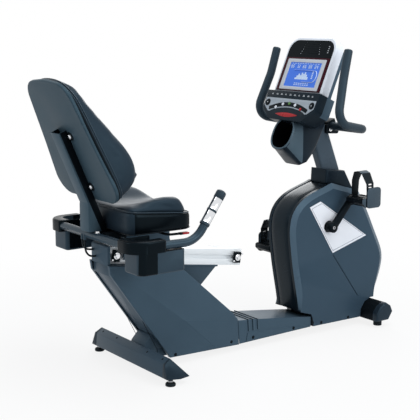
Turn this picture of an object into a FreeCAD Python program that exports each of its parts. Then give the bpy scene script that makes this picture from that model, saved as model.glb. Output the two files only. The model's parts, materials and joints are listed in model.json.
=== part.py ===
import FreeCAD, Part
import math
import os
import Sketcher

# Recumbent exercise bike, millimetres.  +X points forward (towards the console),
# +Y to the rider's left, +Z up.  The origin is on the floor, under the middle of
# the bike's bounding box.  Every size below is a cell of the spreadsheet "Sizes".

Vector = FreeCAD.Vector
Y_AXIS = Vector(0, 1, 0)
doc = FreeCAD.newDocument("RecumbentBike")


# ---------------------------------------------------------------- sizes
SIZES = {
    "rear_foot_x": -488,  # centre line of the rear stabiliser's feet
    "rear_foot_y": 280,  # rear feet off the middle plane
    "foot_radius": 21,  # pad of a levelling foot
    "foot_height": 14,
    "foot_stem_radius": 6,
    "foot_stem_top": 58,
    "stem_clearance": 0.05,
    "rear_bar_half": 262,  # rear stabiliser, half length without caps
    "rear_cap_length": 36,
    "rear_bar_back": 28,  # behind the feet, lower edge
    "rear_bar_back_top": 24,  # behind the feet, shoulder
    "rear_bar_crest": 6,  # ahead of the feet, highest edge
    "rear_bar_front": 81,  # ahead of the feet, nose
    "rear_bar_low": 32,
    "rear_bar_front_low": 24,
    "rear_bar_nose_z": 28,
    "rear_bar_shoulder": 88,
    "rear_bar_top": 108,
    "foot_bar_wall": 3,  # wall of both stabiliser tubes
    "cap_bevel": 30,
    "front_foot_x": 785,
    "front_foot_y": 149,
    "front_foot_radius": 20,
    "front_bar_half": 168,
    "front_cap_length": 32,
    "front_bar_back": 733,
    "front_bar_nose": 835,
    "front_bar_low": 32,
    "front_bar_top": 118,
    "rail_pitch": 8.1,  # rail drops towards the front, degrees
    "rail_back_x": -622,
    "rail_back_z": 503.5,
    "rail_length": 674,
    "rail_half_width": 40,
    "rail_half_height": 35,
    "rail_groove_depth": 9,
    "rail_groove_half": 8,
    "rail_wall": 4,
    "stop_length": 34,
    "stop_thick": 14,
    "stop_half_height": 24,
    "stop_back_at": 32,
    "stop_front_inset": 26,  # from the rail's front end
    "rail_cover_back": -640,
    "rail_cover_half": 64,
    "rail_cover_low": 466,
    "rail_cover_top": 547,
    "rail_cover_thick": 12.8,
    "saddle_thick": 8,  # steel saddle under the rail
    "saddle_half": 36,
    "saddle_length": 556,
    "post_half": 65,
    "post_depth": 60,
    "post_lean": 35.6,  # post leans back going up, degrees
    "post_low_x": -379,
    "post_length": 423,
    "panel_inner": 65.3,
    "panel_outer": 82,
    "panel_wall": 3,
    "panel_fold": 0.8,  # the lower front corner of a panel stands proud by this
    "gusset_half": 30,
    "stub_half": 52,
    "beam_half": 50,
    "beam_low": 40,
    "beam_top": 78,
    "beam_back": -400,
    "beam_front": 733,
    "beam_wall": 4,
    "cover_half": 82,
    "cover_wall": 3,
    "cover_back": 8.6,
    "cover_front": 421.5,
    "cover_rake": 7.5,  # its rear edge leans back like the panels' front edge
    "cover_top": 138,
    "cover_fall": 0.118,  # slope of its top behind the shroud
    "louvre_x": 56,
    "louvre_pitch": 26,
    "louvre_width": 13,
    "louvre_proud": 4,
    "louvre_low": 80,
    "skirt_proud": 2,
    "bracket_rear_x": 470,  # cross brackets on the spine that hold the shroud
    "bracket_front_x": 660,
    "bracket_long": 26,
    "bracket_high": 20,
    "seat_gap": 0.3,  # between a piece and what carries it
    "tower_half": 30,  # tower plates start this far off the middle
    "tower_plate": 6,
    "shroud_inner": 60.3,
    "shroud_outer": 90,
    "shroud_wall": 3,
    "shroud_bevel": 24,  # the side faces turn in towards the edges by this much
    "shroud_shoulder": 14,  # over this depth
    "hub_hole_radius": 27,
    "band_wall": 4,
    "band_half": 60,
    "band_crown": 2,  # the band is rounded by this across its width
    "seam_width": 2,
    "seam_depth": 1.2,
    "trim_thick": 2,
    "crank_x": 512,
    "crank_z": 499,
    "crank_length": 170,
    "crank_angle": 48,
    "crank_inner": 112,
    "crank_outer": 128,
    "crank_boss_radius": 24,
    "crank_tip_radius": 17,
    "axle_radius": 10,
    "axle_clearance": 0.05,
    "shell_radius": 22,
    "bearing_width": 10,
    "pulley_radius": 120,
    "pulley_low_y": 8,
    "pulley_width": 14,
    "spindle_radius": 6,
    "spindle_length": 112.5,
    "pedal_gap": 8,
    "pedal_width": 105,
    "pedal_chord": 100,
    "pedal_above": 15,  # top of the platform over the spindle
    "pedal_below": 27,
    "pedal_rail": 12,  # width of the cage's rails
    "pedal_teeth": 6,
    "pedal_tooth_deep": 4,
    "buckle_thick": 7,  # rounded plate on the outer end, which holds the strap
    "buckle_back": 26,
    "buckle_front": 58,
    "buckle_low": 31,
    "buckle_high": 62,
    "buckle_corner": 17,
    "strap_width": 38,
    "strap_thick": 3,
    "strap_rise": 92,
    "strap_slots": 4,
    "strap_slot_first": 12,
    "strap_slot_pitch": 11,
    "strap_slot_long": 18,
    "strap_slot_high": 5,
    "flywheel_x": 668,
    "flywheel_z": 262,
    "flywheel_radius": 118,
    "flywheel_width": 22,
    "flywheel_bore": 9,
    "flywheel_gap": 3,
    "small_pulley_radius": 22,
    "belt_thick": 4,
    "mast_lean": 22,
    "mast_depth": 96,
    "mast_width": 48,
    "mast_corner": 10,
    "spacer_radius": 12,  # between the mast and the tower plates
    "mast_wall": 4,
    "mast_base_x": 583,
    "mast_base_z": 748,
    "mast_sunk": 96,
    "mast_length": 212,
    "collar_low_half": 56,
    "collar_wall": 3,
    "collar_edge": 9,
    "face_lean": 23.6,  # console face leans back, degrees
    "face_x": 392,
    "face_z": 1121,
    "bezel_half": 162,
    "bezel_low": -10,
    "bezel_top": 252,
    "bezel_deep": 46,
    "bezel_edge": 6,
    "grille_low": 172,  # lowest slot of the speaker grille
    "grille_pitch": 11,
    "grille_slot": 3.5,
    "grille_half": 66,
    "grille_taper": 3.9,  # each slot is shorter than the one below by this, each side
    "lens_half": 149,
    "lens_low": -6,
    "lens_top": 238,
    "lens_proud": 1.5,
    "screen_half": 118,
    "screen_low": 8,
    "screen_top": 138,
    "screen_proud": 1,
    "deck_half": 176,
    "deck_top": -14,
    "deck_rise": 18,
    "keypad_half": 170,
    "keypad_low": -112,
    "keypad_top": -46,
    "keypad_proud": 1.5,
    "key_radius": 7,
    "key_side_v": -74,
    "key_side_at": 150,
    "key_travel": 2,  # a key goes this far into the deck
    "key_below": 4,  # and reaches this far below the deck's face at rest
    "key_gap": 0.4,
    "bottle_wide": 62,  # the cup's opening, half widths and corner
    "bottle_high": 68,
    "bottle_corner": 56,
    "bottle_depth": 104,
    "bottle_v": -208,
    "bottle_half": 68,
    "bottle_rim": 8,  # thickness of the cup round its opening
    "bottle_lip": 4,  # the cup's mouth stands this far out of the console's plane
    "bottle_long": 152,
    "bottle_edge": 24,
    "bar_radius": 19,
    "bar_wall": 2,
    "bar_top_x": 469,
    "bar_top_y": 242,
    "bar_top_z": 1298,
    "bar_kink_x": 440,
    "bar_kink_y": 248,
    "bar_kink_z": 1187,
    "bar_low_x": 376,
    "bar_low_y": 283,
    "bar_low_z": 992,
    "bar_front_x": 573,
    "bar_front_y": 255,
    "bar_front_z": 953,
    "bar_kink_bend": 160,
    "bar_low_bend": 62,
    "bar_front_bend": 55,
    "clamp_width": 70,
    "clamp_thick": 7,
    "carriage_back": 62,
    "carriage_length": 216,
    "carriage_plate": 5,
    "carriage_gap": 11,
    "roller_radius": 16,
    "roller_width": 16,
    "roller_y": 22,
    "roller_axle": 5,
    "roller_inset": 34,
    "deck_plate_z": 584,
    "seat_plate_z": 606,
    "seat_frame_half": 92,
    "tube_radius": 17,
    "tube_wall": 2.5,
    "cross_x": -676,
    "cross_z": 588,
    "arm_y": 330,
    "arm_bend_x": -400,
    "arm_z": 584,
    "arm_rise": 54.9,
    "arm_reach": 205,
    "arm_bend": 104,
    "corner_bend": 58,
    "grip_length": 150,
    "grip_radius": 20.5,
    "pocket_back": -666,
    "pocket_front": -460,
    "pocket_wall": 3.5,
    "pocket_width": 123,
    "pocket_low": 480,
    "tray_top": 612,
    "cover_end_x": -545,  # the corner cover leaves the tube here
    "pocket_corner": 30,
    "pocket_edge": 8,
    "cover_edge": 9,
    "tube_clearance": 0.4,  # round a tube that passes through a moulding
    "pan_back": -624,
    "pan_front": -336,
    "pan_half": 215,
    "pan_top": 692,
    "pan_wall": 3,
    "pan_nose": 26,
    "pan_rear_corner": 26,
    "pan_front_corner": 58,
    "cushion_rise": 46,
    "back_lean": 23.3,
    "back_low_x": -681,
    "back_low_z": 752,
    "back_shell_thick": 14,
    "back_height": 470,
    "back_half_low": 244,
    "back_half_top": 163,
    "back_low_corner": 76,
    "back_top_corner": 84,
    "back_edge": 5,
    "back_cushion_thick": 96,
    "bracket_half": 35,
    "bracket_wall": 4,
    "lever_y": -196,
    "lever_pivot_x": -440,
    "lever_pivot_z": 592,
    "lever_length": 98,
    "lever_radius": 5,
    "cable_radius": 4,
    "cable_y": 48,
}


class Size:
    """A number that also carries the spreadsheet formula it comes from."""

    def __init__(self, value, formula=None):
        self.value = float(value)
        self.formula = formula or repr(float(value))

    def join(self, other, sign, value):
        return Size(value, "(%s %s %s)" % (self.formula, sign, other.formula))

    def __add__(self, other):
        other = as_size(other)
        return self.join(other, "+", self.value + other.value)

    def __radd__(self, other):
        return as_size(other) + self

    def __sub__(self, other):
        other = as_size(other)
        return self.join(other, "-", self.value - other.value)

    def __rsub__(self, other):
        return as_size(other) - self

    def __mul__(self, other):
        other = as_size(other)
        return self.join(other, "*", self.value * other.value)

    def __rmul__(self, other):
        return as_size(other) * self

    def __truediv__(self, other):
        other = as_size(other)
        return self.join(other, "/", self.value / other.value)

    def __neg__(self):
        return Size(-self.value, "(-1 * %s)" % self.formula)

    def __float__(self):
        return self.value


def as_size(value):
    return value if isinstance(value, Size) else Size(value)


def sin(angle):
    return Size(math.sin(math.radians(angle.value)), "sin(%s * 1 deg)" % angle.formula)


def cos(angle):
    return Size(math.cos(math.radians(angle.value)), "cos(%s * 1 deg)" % angle.formula)


class Sizes:
    """The sheet's cells, each one an attribute that is a Size."""


def fill_sheet():
    """Write every size to its own cell and hand back the sizes by name."""
    sheet = doc.addObject("Spreadsheet::Sheet", "Sizes")
    sizes = Sizes()
    for row, (name, number) in enumerate(SIZES.items(), start=1):
        sheet.set("A%d" % row, name)
        sheet.set("B%d" % row, str(number))
        sheet.setAlias("B%d" % row, name)
        setattr(sizes, name, Size(number, "Sizes." + name))
    doc.recompute()
    return sizes


s = fill_sheet()


# ---------------------------------------------------------------- making parts
NODES = []  # every object that becomes a file in parts/


def bind(thing, name, size):
    """Set one property of an object to a size, and tie it to the sheet."""
    size = as_size(size)
    if "Sizes." in size.formula:
        thing.setExpression(name, size.formula)
    else:
        setattr(thing, name, size.value)


def tilt(thing, x, z, pitch, y=0):
    """Put an object's own frame at x, y, z, turned about Y by pitch degrees."""
    x, y, z, pitch = [as_size(value) for value in (x, y, z, pitch)]
    turn = FreeCAD.Rotation(Y_AXIS, pitch.value)
    thing.Placement = FreeCAD.Placement(Vector(x.value, y.value, z.value), turn)
    for axis, size in zip("xyz", (x, y, z)):
        if "Sizes." in size.formula:
            thing.setExpression(".Placement.Base." + axis, size.formula)
    if "Sizes." in pitch.formula:
        thing.setExpression(".Placement.Rotation.Angle", pitch.formula)


def new_body(label, keep=True):
    body = doc.addObject("PartDesign::Body", label)
    body.Label = label
    if keep:
        NODES.append(body)
    return body


def new_sketch(body, plane, offset=0):
    """A sketch on one of the body's own planes, moved along its normal."""
    sketch = body.newObject("Sketcher::SketchObject", body.Label + "_sketch")
    planes = [f for f in body.Origin.OriginFeatures if f.Role == plane]
    sketch.AttachmentSupport = [(planes[0], "")]
    sketch.MapMode = "FlatFace"
    offset = as_size(offset)
    sketch.AttachmentOffset = FreeCAD.Placement(Vector(0, 0, offset.value), FreeCAD.Rotation())
    if "Sizes." in offset.formula:
        sketch.setExpression(".AttachmentOffset.Base.z", offset.formula)
    return sketch


def fix_point(sketch, edge, end, point):
    """Dimension one end of a sketch edge from the sketch's origin."""
    for kind, size in zip(("DistanceX", "DistanceY"), point):
        size = as_size(size)
        index = sketch.addConstraint(Sketcher.Constraint(kind, -1, 1, edge, end, size.value))
        if "Sizes." in size.formula:
            sketch.setExpression("Constraints[%d]" % index, size.formula)


def add_outline(sketch, points):
    """A closed polygon whose corners are dimensioned one by one."""
    first = sketch.GeometryCount
    count = len(points)
    for i in range(count):
        ends = [Vector(float(p[0]), float(p[1]), 0) for p in (points[i], points[(i + 1) % count])]
        sketch.addGeometry(Part.LineSegment(ends[0], ends[1]), False)
    for i in range(count):
        following = first + (i + 1) % count
        sketch.addConstraint(Sketcher.Constraint("Coincident", first + i, 2, following, 1))
    for i, point in enumerate(points):
        fix_point(sketch, first + i, 1, point)


def add_circle(sketch, centre, radius):
    radius = as_size(radius)
    middle = Vector(float(centre[0]), float(centre[1]), 0)
    edge = sketch.addGeometry(Part.Circle(middle, Vector(0, 0, 1), radius.value), False)
    index = sketch.addConstraint(Sketcher.Constraint("Radius", edge, radius.value))
    if "Sizes." in radius.formula:
        sketch.setExpression("Constraints[%d]" % index, radius.formula)
    fix_point(sketch, edge, 3, centre)


def feature(body, kind, sketch, low, high, normal=1):
    """A Pad or Pocket of one sketch between two offsets along its plane's normal."""
    length = as_size(high) - low
    made = body.newObject("PartDesign::" + kind, body.Label + "_" + kind.lower())
    made.Profile = sketch
    bind(made, "Length", length)
    made.Reversed = kind == "Pocket"
    doc.recompute()
    return made


# Along XZ_Plane the normal points to -Y, so offsets there are minus Y.
def side_plate(body, kind, outline, y_low, y_high, circles=()):
    """Pad or pocket an X-Z outline from y_low to y_high."""
    sketch = new_sketch(body, "XZ_Plane", -as_size(y_high))
    if outline:
        add_outline(sketch, outline)
    for centre, radius in circles:
        add_circle(sketch, centre, radius)
    return feature(body, kind, sketch, y_low, y_high)


def floor_plate(body, kind, outline, z_low, z_high, circles=()):
    """Pad or pocket an X-Y outline from z_low to z_high."""
    sketch = new_sketch(body, "XY_Plane", z_low)
    if outline:
        add_outline(sketch, outline)
    for centre, radius in circles:
        add_circle(sketch, centre, radius)
    return feature(body, kind, sketch, z_low, z_high)


def cross_plate(body, kind, outline, x_low, x_high, circles=()):
    """Pad or pocket a Y-Z outline from x_low to x_high."""
    sketch = new_sketch(body, "YZ_Plane", x_low)
    if outline:
        add_outline(sketch, outline)
    for centre, radius in circles:
        add_circle(sketch, centre, radius)
    return feature(body, kind, sketch, x_low, x_high)


def straight_edges(shape, axis, corners):
    """Names of the edges that run along axis through the given corner points."""
    others = [i for i in range(3) if i != axis]
    names = []
    for number, edge in enumerate(shape.Edges, start=1):
        if len(edge.Vertexes) != 2:
            continue
        start, end = [tuple(v.Point) for v in edge.Vertexes]
        along = all(abs(start[i] - end[i]) < 0.01 for i in others)
        if not along:
            continue
        for corner in corners:
            if all(abs(start[i] - float(c)) < 0.01 for i, c in zip(others, corner)):
                names.append("Edge%d" % number)
    return names


def flat_edges(shape, axis, level):
    """Names of the edges that lie wholly in the plane axis = level."""
    names = []
    for number, edge in enumerate(shape.Edges, start=1):
        box = edge.BoundBox
        low = (box.XMin, box.YMin, box.ZMin)[axis]
        high = (box.XMax, box.YMax, box.ZMax)[axis]
        if abs(low - float(level)) < 0.01 and abs(high - float(level)) < 0.01:
            names.append("Edge%d" % number)
    return names


def dress(body, kind, base, names, size):
    """Fillet or chamfer named edges of the body's last feature."""
    made = body.newObject("PartDesign::" + kind, body.Label + "_" + kind.lower())
    made.Base = (base, names)
    bind(made, "Radius" if kind == "Fillet" else "Size", size)
    doc.recompute()
    return made


def hollow(body, base, axis, level, wall):
    """Shell the body inwards, leaving the face at axis = level open."""
    faces = []
    for number, face in enumerate(base.Shape.Faces, start=1):
        box = face.BoundBox
        low = (box.XMin, box.YMin, box.ZMin)[axis]
        high = (box.XMax, box.YMax, box.ZMax)[axis]
        if abs(low - float(level)) < 0.01 and abs(high - float(level)) < 0.01:
            faces.append("Face%d" % number)
    made = body.newObject("PartDesign::Thickness", body.Label + "_wall")
    made.Base = (base, faces)
    bind(made, "Value", wall)
    made.Reversed = True
    doc.recompute()
    return made


def mirrored(label, original):
    """The other side's copy of a body, mirrored across the middle plane."""
    copy = doc.addObject("Part::Mirroring", label)
    copy.Label = label
    copy.Source = original
    copy.Normal = Y_AXIS
    NODES.append(copy)
    doc.recompute()
    return copy


def both_sides(label, original):
    """One node that holds a body and its mirror image as separate solids."""
    twin = doc.addObject("Part::Mirroring", label + "_twin")
    twin.Source = original
    twin.Normal = Y_AXIS
    pair = doc.addObject("Part::Compound", label)
    pair.Label = label
    pair.Links = [original, twin]
    NODES.append(pair)
    doc.recompute()
    return pair


def shaped(label, shape, keep=True):
    """A feature whose shape no sketch or primitive gives."""
    made = doc.addObject("Part::Feature", label)
    made.Label = label
    made.Shape = shape
    if keep:
        NODES.append(made)
    return made


def point(*sizes):
    return Vector(*[float(size) for size in sizes])


def smooth(points):
    """A curve through the given points, as one edge."""
    curve = Part.BSplineCurve()
    curve.interpolate(points)
    return curve.toShape()


def bent_path(points, radii):
    """A wire of straight runs joined by tangent arcs, one radius per inner point."""
    points = [point(*p) for p in points]
    edges = []
    start = points[0]
    for i, radius in enumerate(radii, start=1):
        back = (points[i - 1] - points[i]).normalize()
        ahead = (points[i + 1] - points[i]).normalize()
        turn = math.pi - back.getAngle(ahead)
        reach = float(radius) * math.tan(turn / 2)
        inner = (back + ahead).normalize()
        to_arc = float(radius) / math.cos(turn / 2) - float(radius)
        arc_start = points[i] + back * reach
        arc_end = points[i] + ahead * reach
        edges.append(Part.LineSegment(start, arc_start).toShape())
        edges.append(Part.Arc(arc_start, points[i] + inner * to_arc, arc_end).toShape())
        start = arc_end
    edges.append(Part.LineSegment(start, points[-1]).toShape())
    return Part.Wire(edges)


def swept_round(path, radius):
    """A solid round bar along a path: a cylinder for each run, a piece of torus for each arc."""
    pieces = []
    for edge in path.Edges:
        start = edge.valueAt(edge.FirstParameter)
        along = edge.tangentAt(edge.FirstParameter)
        disc = Part.Face(Part.Wire(Part.Circle(start, along, float(radius)).toShape()))
        if isinstance(edge.Curve, Part.Line):
            pieces.append(disc.extrude(edge.valueAt(edge.LastParameter) - start))
        else:
            centre, axis = edge.Curve.Center, edge.Curve.Axis
            turn = math.degrees(edge.LastParameter - edge.FirstParameter)
            pieces.append(disc.revolve(centre, axis, turn))
    return pieces[0].multiFuse(pieces[1:]).removeSplitter()


# ---------------------------------------------------------------- frames of reference
def from_frame(x, z, pitch, along, up):
    """World x and z of a point given in a frame tilted about Y."""
    return (x + cos(pitch) * along + sin(pitch) * up, z - sin(pitch) * along + cos(pitch) * up)


def on_rail(along, up):
    return from_frame(s.rail_back_x, s.rail_back_z, s.rail_pitch, as_size(along), as_size(up))


def on_face(depth, up):
    return from_frame(s.face_x, s.face_z, s.face_lean, as_size(depth), as_size(up))


def on_back(ahead, up):
    return from_frame(s.back_low_x, s.back_low_z, -s.back_lean, as_size(ahead), as_size(up))


def tilt_rail(thing):
    tilt(thing, s.rail_back_x, s.rail_back_z, s.rail_pitch)


def tilt_face(thing):
    tilt(thing, s.face_x, s.face_z, s.face_lean)


def tilt_back(thing):
    tilt(thing, s.back_low_x, s.back_low_z, -s.back_lean)


def tilt_mast(thing):
    tilt(thing, s.mast_base_x, s.mast_base_z, -s.mast_lean)


def fused(label, pieces, keep=True):
    """Weld several bodies into one piece."""
    weld = doc.addObject("Part::MultiFuse", label)
    weld.Label = label
    weld.Shapes = pieces
    weld.Refine = True
    if keep:
        NODES.append(weld)
    doc.recompute()
    return weld


def cut_away(label, base, tool, keep=True):
    made = doc.addObject("Part::Cut", label)
    made.Label = label
    made.Base = base
    made.Tool = tool
    if keep:
        NODES.append(made)
    doc.recompute()
    return made


def rectangle(x_low, x_high, y_low, y_high):
    return [(x_low, y_low), (x_high, y_low), (x_high, y_high), (x_low, y_high)]


# ---------------------------------------------------------------- stabilisers and feet
def inset_loop(points, amounts):
    """Move each corner of an anticlockwise loop inwards by its own amount."""
    moved = []
    count = len(points)
    for i, amount in enumerate(amounts):
        here, before, after = points[i], points[i - 1], points[(i + 1) % count]
        normals = []
        for start, end in ((before, here), (here, after)):
            dx, dz = end[0] - start[0], end[1] - start[1]
            length = math.hypot(dx, dz)
            normals.append((-dz / length, dx / length))
        nx, nz = normals[0][0] + normals[1][0], normals[0][1] + normals[1][1]
        scale = amount * 2 / (nx * nx + nz * nz)
        moved.append((here[0] + nx * scale, here[1] + nz * scale))
    return moved


def inner_outline(outline, wall):
    """The outline moved inwards all round by a wall."""
    loop = [(float(x), float(z)) for x, z in outline]
    turns = [a[0] * b[1] - b[0] * a[1] for a, b in zip(loop, loop[1:] + loop[:1])]
    if sum(turns) < 0:
        loop.reverse()
    return inset_loop(loop, [float(wall)] * len(loop))


def rear_bar_outline():
    foot = s.rear_foot_x
    return [
        (foot - s.rear_bar_back, s.rear_bar_low),
        (foot + 38, s.rear_bar_front_low),
        (foot + s.rear_bar_front, s.rear_bar_nose_z),
        (foot + s.rear_bar_crest, s.rear_bar_top),
        (foot - s.rear_bar_back_top, s.rear_bar_shoulder),
    ]


def on_rear_slope(share):
    """A point on the rear bar's front slope, from its crest down to its nose."""
    run = s.rear_bar_front - s.rear_bar_crest
    drop = s.rear_bar_top - s.rear_bar_nose_z
    return (s.rear_foot_x + s.rear_bar_crest + run * share, s.rear_bar_top - drop * share)


def make_rear_stabiliser():
    """Folded steel tube with a low nose."""
    bar = new_body("rear_stabiliser")
    half = s.rear_bar_half
    side_plate(bar, "Pad", rear_bar_outline(), -half, half)
    side_plate(bar, "Pocket", inner_outline(rear_bar_outline(), s.foot_bar_wall), -half, half)


def make_rear_cap():
    """Bevelled plastic end of the rear bar, bored for its levelling foot."""
    foot = s.rear_foot_x
    cap = new_body("rear_end_cap", keep=False)
    outer = s.rear_bar_half + s.rear_cap_length
    side_plate(cap, "Pad", rear_bar_outline(), s.rear_bar_half, outer)
    bevel = [
        (outer - s.cap_bevel, s.rear_bar_top + 1),
        (outer + 1, s.rear_bar_top + 1),
        (outer + 1, s.rear_bar_low),
        (outer, s.rear_bar_low),
    ]
    cross_plate(cap, "Pocket", bevel, foot - s.rear_bar_back - 1, foot + s.rear_bar_front + 1)
    hole = s.foot_stem_radius + s.stem_clearance
    floor_plate(cap, "Pocket", None, 0, s.foot_stem_top + 0.3, [((foot, s.rear_foot_y), hole)])
    return cap


def front_bar_outline():
    return [
        (s.front_bar_back, s.front_bar_low),
        (s.front_bar_nose - 26, s.front_bar_low),
        (s.front_bar_nose, s.front_bar_low + 38),
        (s.front_bar_nose - 14, s.front_bar_top - 18),
        (s.front_bar_nose - 42, s.front_bar_top),
        (s.front_bar_back + 24, s.front_bar_top - 16),
        (s.front_bar_back, s.front_bar_low + 40),
    ]


def make_front_stabiliser():
    bar = new_body("front_stabiliser")
    half = s.front_bar_half
    side_plate(bar, "Pad", front_bar_outline(), -half, half)
    side_plate(bar, "Pocket", inner_outline(front_bar_outline(), s.foot_bar_wall), -half, half)
    cap = new_body("front_end_cap", keep=False)
    outer = s.front_bar_half + s.front_cap_length
    pad = side_plate(cap, "Pad", front_bar_outline(), s.front_bar_half, outer)
    dress(cap, "Fillet", pad, flat_edges(pad.Shape, 1, outer), 8)
    return cap


def make_end_caps():
    """Four caps, one on each end of both stabilisers."""
    caps = [make_rear_cap(), make_front_stabiliser()]
    twins = []
    for cap in caps:
        twin = doc.addObject("Part::Mirroring", cap.Label + "_twin")
        twin.Source = cap
        twin.Normal = Y_AXIS
        twins.append(twin)
    group = doc.addObject("Part::Compound", "end_caps")
    group.Label = "end_caps"
    group.Links = caps + twins
    NODES.append(group)


def make_rear_feet():
    """Levelling feet: a rubber pad, a nut and a stem that screws into the cap."""
    centre = (s.rear_foot_x, s.rear_foot_y)
    foot = new_body("rear_foot_left")
    pad = floor_plate(foot, "Pad", None, 0, s.foot_height, [(centre, s.foot_radius)])
    dress(foot, "Chamfer", pad, flat_edges(pad.Shape, 2, s.foot_height), 3)
    floor_plate(foot, "Pad", None, s.foot_height, s.foot_stem_top, [(centre, s.foot_stem_radius)])
    mirrored("rear_foot_right", foot)


def make_front_feet():
    """Fixed rubber feet under the front bar."""
    foot = new_body("front_foot", keep=False)
    centre = (s.front_foot_x, s.front_foot_y)
    floor_plate(foot, "Pad", None, 0, s.front_bar_low - 0.3, [(centre, s.front_foot_radius)])
    both_sides("front_feet", foot)


# ---------------------------------------------------------------- frame
def make_base_beam():
    """Box-section spine with the tower plates that carry crank, flywheel and mast."""
    beam = new_body("spine", keep=False)
    outer = rectangle(-s.beam_half, s.beam_half, s.beam_low, s.beam_top)
    inner_half = s.beam_half - s.beam_wall
    inner = rectangle(-inner_half, inner_half, s.beam_low + s.beam_wall, s.beam_top - s.beam_wall)
    sketch = new_sketch(beam, "YZ_Plane", s.beam_back)
    add_outline(sketch, outer)
    add_outline(sketch, inner)
    feature(beam, "Pad", sketch, s.beam_back, s.beam_front)
    outline = [
        (s.cover_front + 3, s.beam_top),
        (726, s.beam_top),
        (738, 250),
        (705, 420),
        (668, 600),
        (630, 728),
        (560, 728),
        (548, 690),
        (478, 600),
        (446, 420),
        (s.cover_front + 3, 250),
    ]
    outer_y = s.tower_half + s.tower_plate
    centre = (s.crank_x, s.crank_z)
    shell_bore = s.shell_radius - 4
    hub = (s.flywheel_x, s.flywheel_z)
    plates = []
    for side, low, high in (("left", s.tower_half, outer_y), ("right", -outer_y, -s.tower_half)):
        plate = new_body("tower_" + side, keep=False)
        side_plate(plate, "Pad", outline, low, high, [(centre, shell_bore)])
        plates.append(plate)
    shell = new_body("crank_shell", keep=False)
    rings = [(centre, s.shell_radius), (centre, shell_bore)]
    side_plate(shell, "Pad", None, s.tower_half - 6, outer_y, rings)
    shell_right = new_body("crank_shell_right", keep=False)
    side_plate(shell_right, "Pad", None, -outer_y, -s.tower_half + 6, rings)
    axle = new_body("flywheel_axle", keep=False)
    end = outer_y + 4
    side_plate(axle, "Pad", None, -end, end, [(hub, s.flywheel_bore)])
    spot = (s.mast_base_x + s.mast_sunk / 2 * sin(s.mast_lean),
            s.mast_base_z - s.mast_sunk / 2 * cos(s.mast_lean))
    spacer = new_body("mast_spacer", keep=False)
    side_plate(spacer, "Pad", None, s.mast_width / 2, s.tower_half, [(spot, s.spacer_radius)])
    spacer_right = new_body("mast_spacer_right", keep=False)
    side_plate(spacer_right, "Pad", None, -s.tower_half, -s.mast_width / 2,
               [(spot, s.spacer_radius)])
    reach = s.shroud_outer - s.shroud_wall - s.seat_gap
    brackets = []
    for number, x in enumerate((s.bracket_rear_x, s.bracket_front_x)):
        bracket = new_body("shroud_bracket_%d" % number, keep=False)
        outline = rectangle(x, x + s.bracket_long, -reach, reach)
        floor_plate(bracket, "Pad", outline, s.beam_top - s.bracket_high, s.beam_top)
        brackets.append(bracket)
    parts = [beam, shell, shell_right, axle, spacer, spacer_right] + plates + brackets
    fused("base_beam", parts)


def make_rear_post():
    """Leaning box post, its foot, the saddle under the rail and the front gusset."""
    post = new_body("post_tube", keep=False)
    inner = s.post_half - s.beam_wall
    sketch = new_sketch(post, "XY_Plane", 0)
    add_outline(sketch, rectangle(0, s.post_depth, -s.post_half, s.post_half))
    add_outline(sketch, rectangle(s.beam_wall, s.post_depth - s.beam_wall, -inner, inner))
    feature(post, "Pad", sketch, 0, s.post_length)
    tilt(post, s.post_low_x, s.beam_top, -s.post_lean)
    saddle = new_body("saddle", keep=False)
    under = -s.rail_half_height
    outline = rectangle(1, s.saddle_length, under - s.saddle_thick, under)
    side_plate(saddle, "Pad", outline, -s.saddle_half, s.saddle_half)
    tilt_rail(saddle)
    back = s.rail_back_x - 10
    collar = new_body("post_head", keep=False)
    weld = under - s.saddle_thick / 2
    lower = on_rail(2, weld)
    front = on_rail(62, weld)
    outline = [(back, 422), (back + 55, 440), front, (back, lower[1])]
    side_plate(collar, "Pad", outline, -s.post_half, s.post_half)
    gusset = new_body("gusset", keep=False)
    tip = on_rail(s.saddle_length - 2, weld)
    root = on_rail(s.saddle_length / 2 + 40, weld)
    outline = [tip, (-172, 303), (-338, 138), (-392, 180), root]
    side_plate(gusset, "Pad", outline, -s.gusset_half, s.gusset_half)
    inner_half = s.gusset_half - s.beam_wall
    side_plate(gusset, "Pocket", inner_outline(outline, s.beam_wall), -inner_half, inner_half)
    foot = new_body("post_foot", keep=False)
    bar_x = s.rear_foot_x
    outline = [
        (bar_x + 58, s.rear_bar_top + 32),
        (bar_x + 26, s.rear_bar_top - 2),
        on_rear_slope(0.18),
        on_rear_slope(0.55),
        (s.beam_back - 4, s.beam_low + 8),
        (s.beam_back - 4, s.beam_top),
        (s.beam_back + 66, s.beam_top),
        (s.beam_back + 54, s.beam_top + 42),
    ]
    side_plate(foot, "Pad", outline, -s.stub_half, s.stub_half)
    fused("rear_post", [post, saddle, collar, gusset, foot])


def make_post_panels():
    """Moulded side covers of the rear post, open on their inner side."""
    panel = new_body("post_panel", keep=False)
    top_back = on_rail(-16, -s.rail_half_height - 2)
    top_front = on_rail(s.saddle_length - 236, -s.rail_half_height + 4)
    outline = [
        top_back,
        (-637, 431),
        (-355, 36),
        (8, 27),
        (0, 144),
        (-29, 179),
        top_front,
    ]
    pad = side_plate(panel, "Pad", outline, s.panel_inner, s.panel_outer)
    edge = dress(panel, "Fillet", pad, flat_edges(pad.Shape, 1, s.panel_outer), 4)
    hollow(panel, edge, 1, s.panel_inner, s.panel_wall)
    fold = [(-283, 186), (-120, 36), (2, 33), (-5, 142)]
    side_plate(panel, "Pad", fold, s.panel_outer - 1, s.panel_outer + s.panel_fold)
    both_sides("post_panels", panel)


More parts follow.
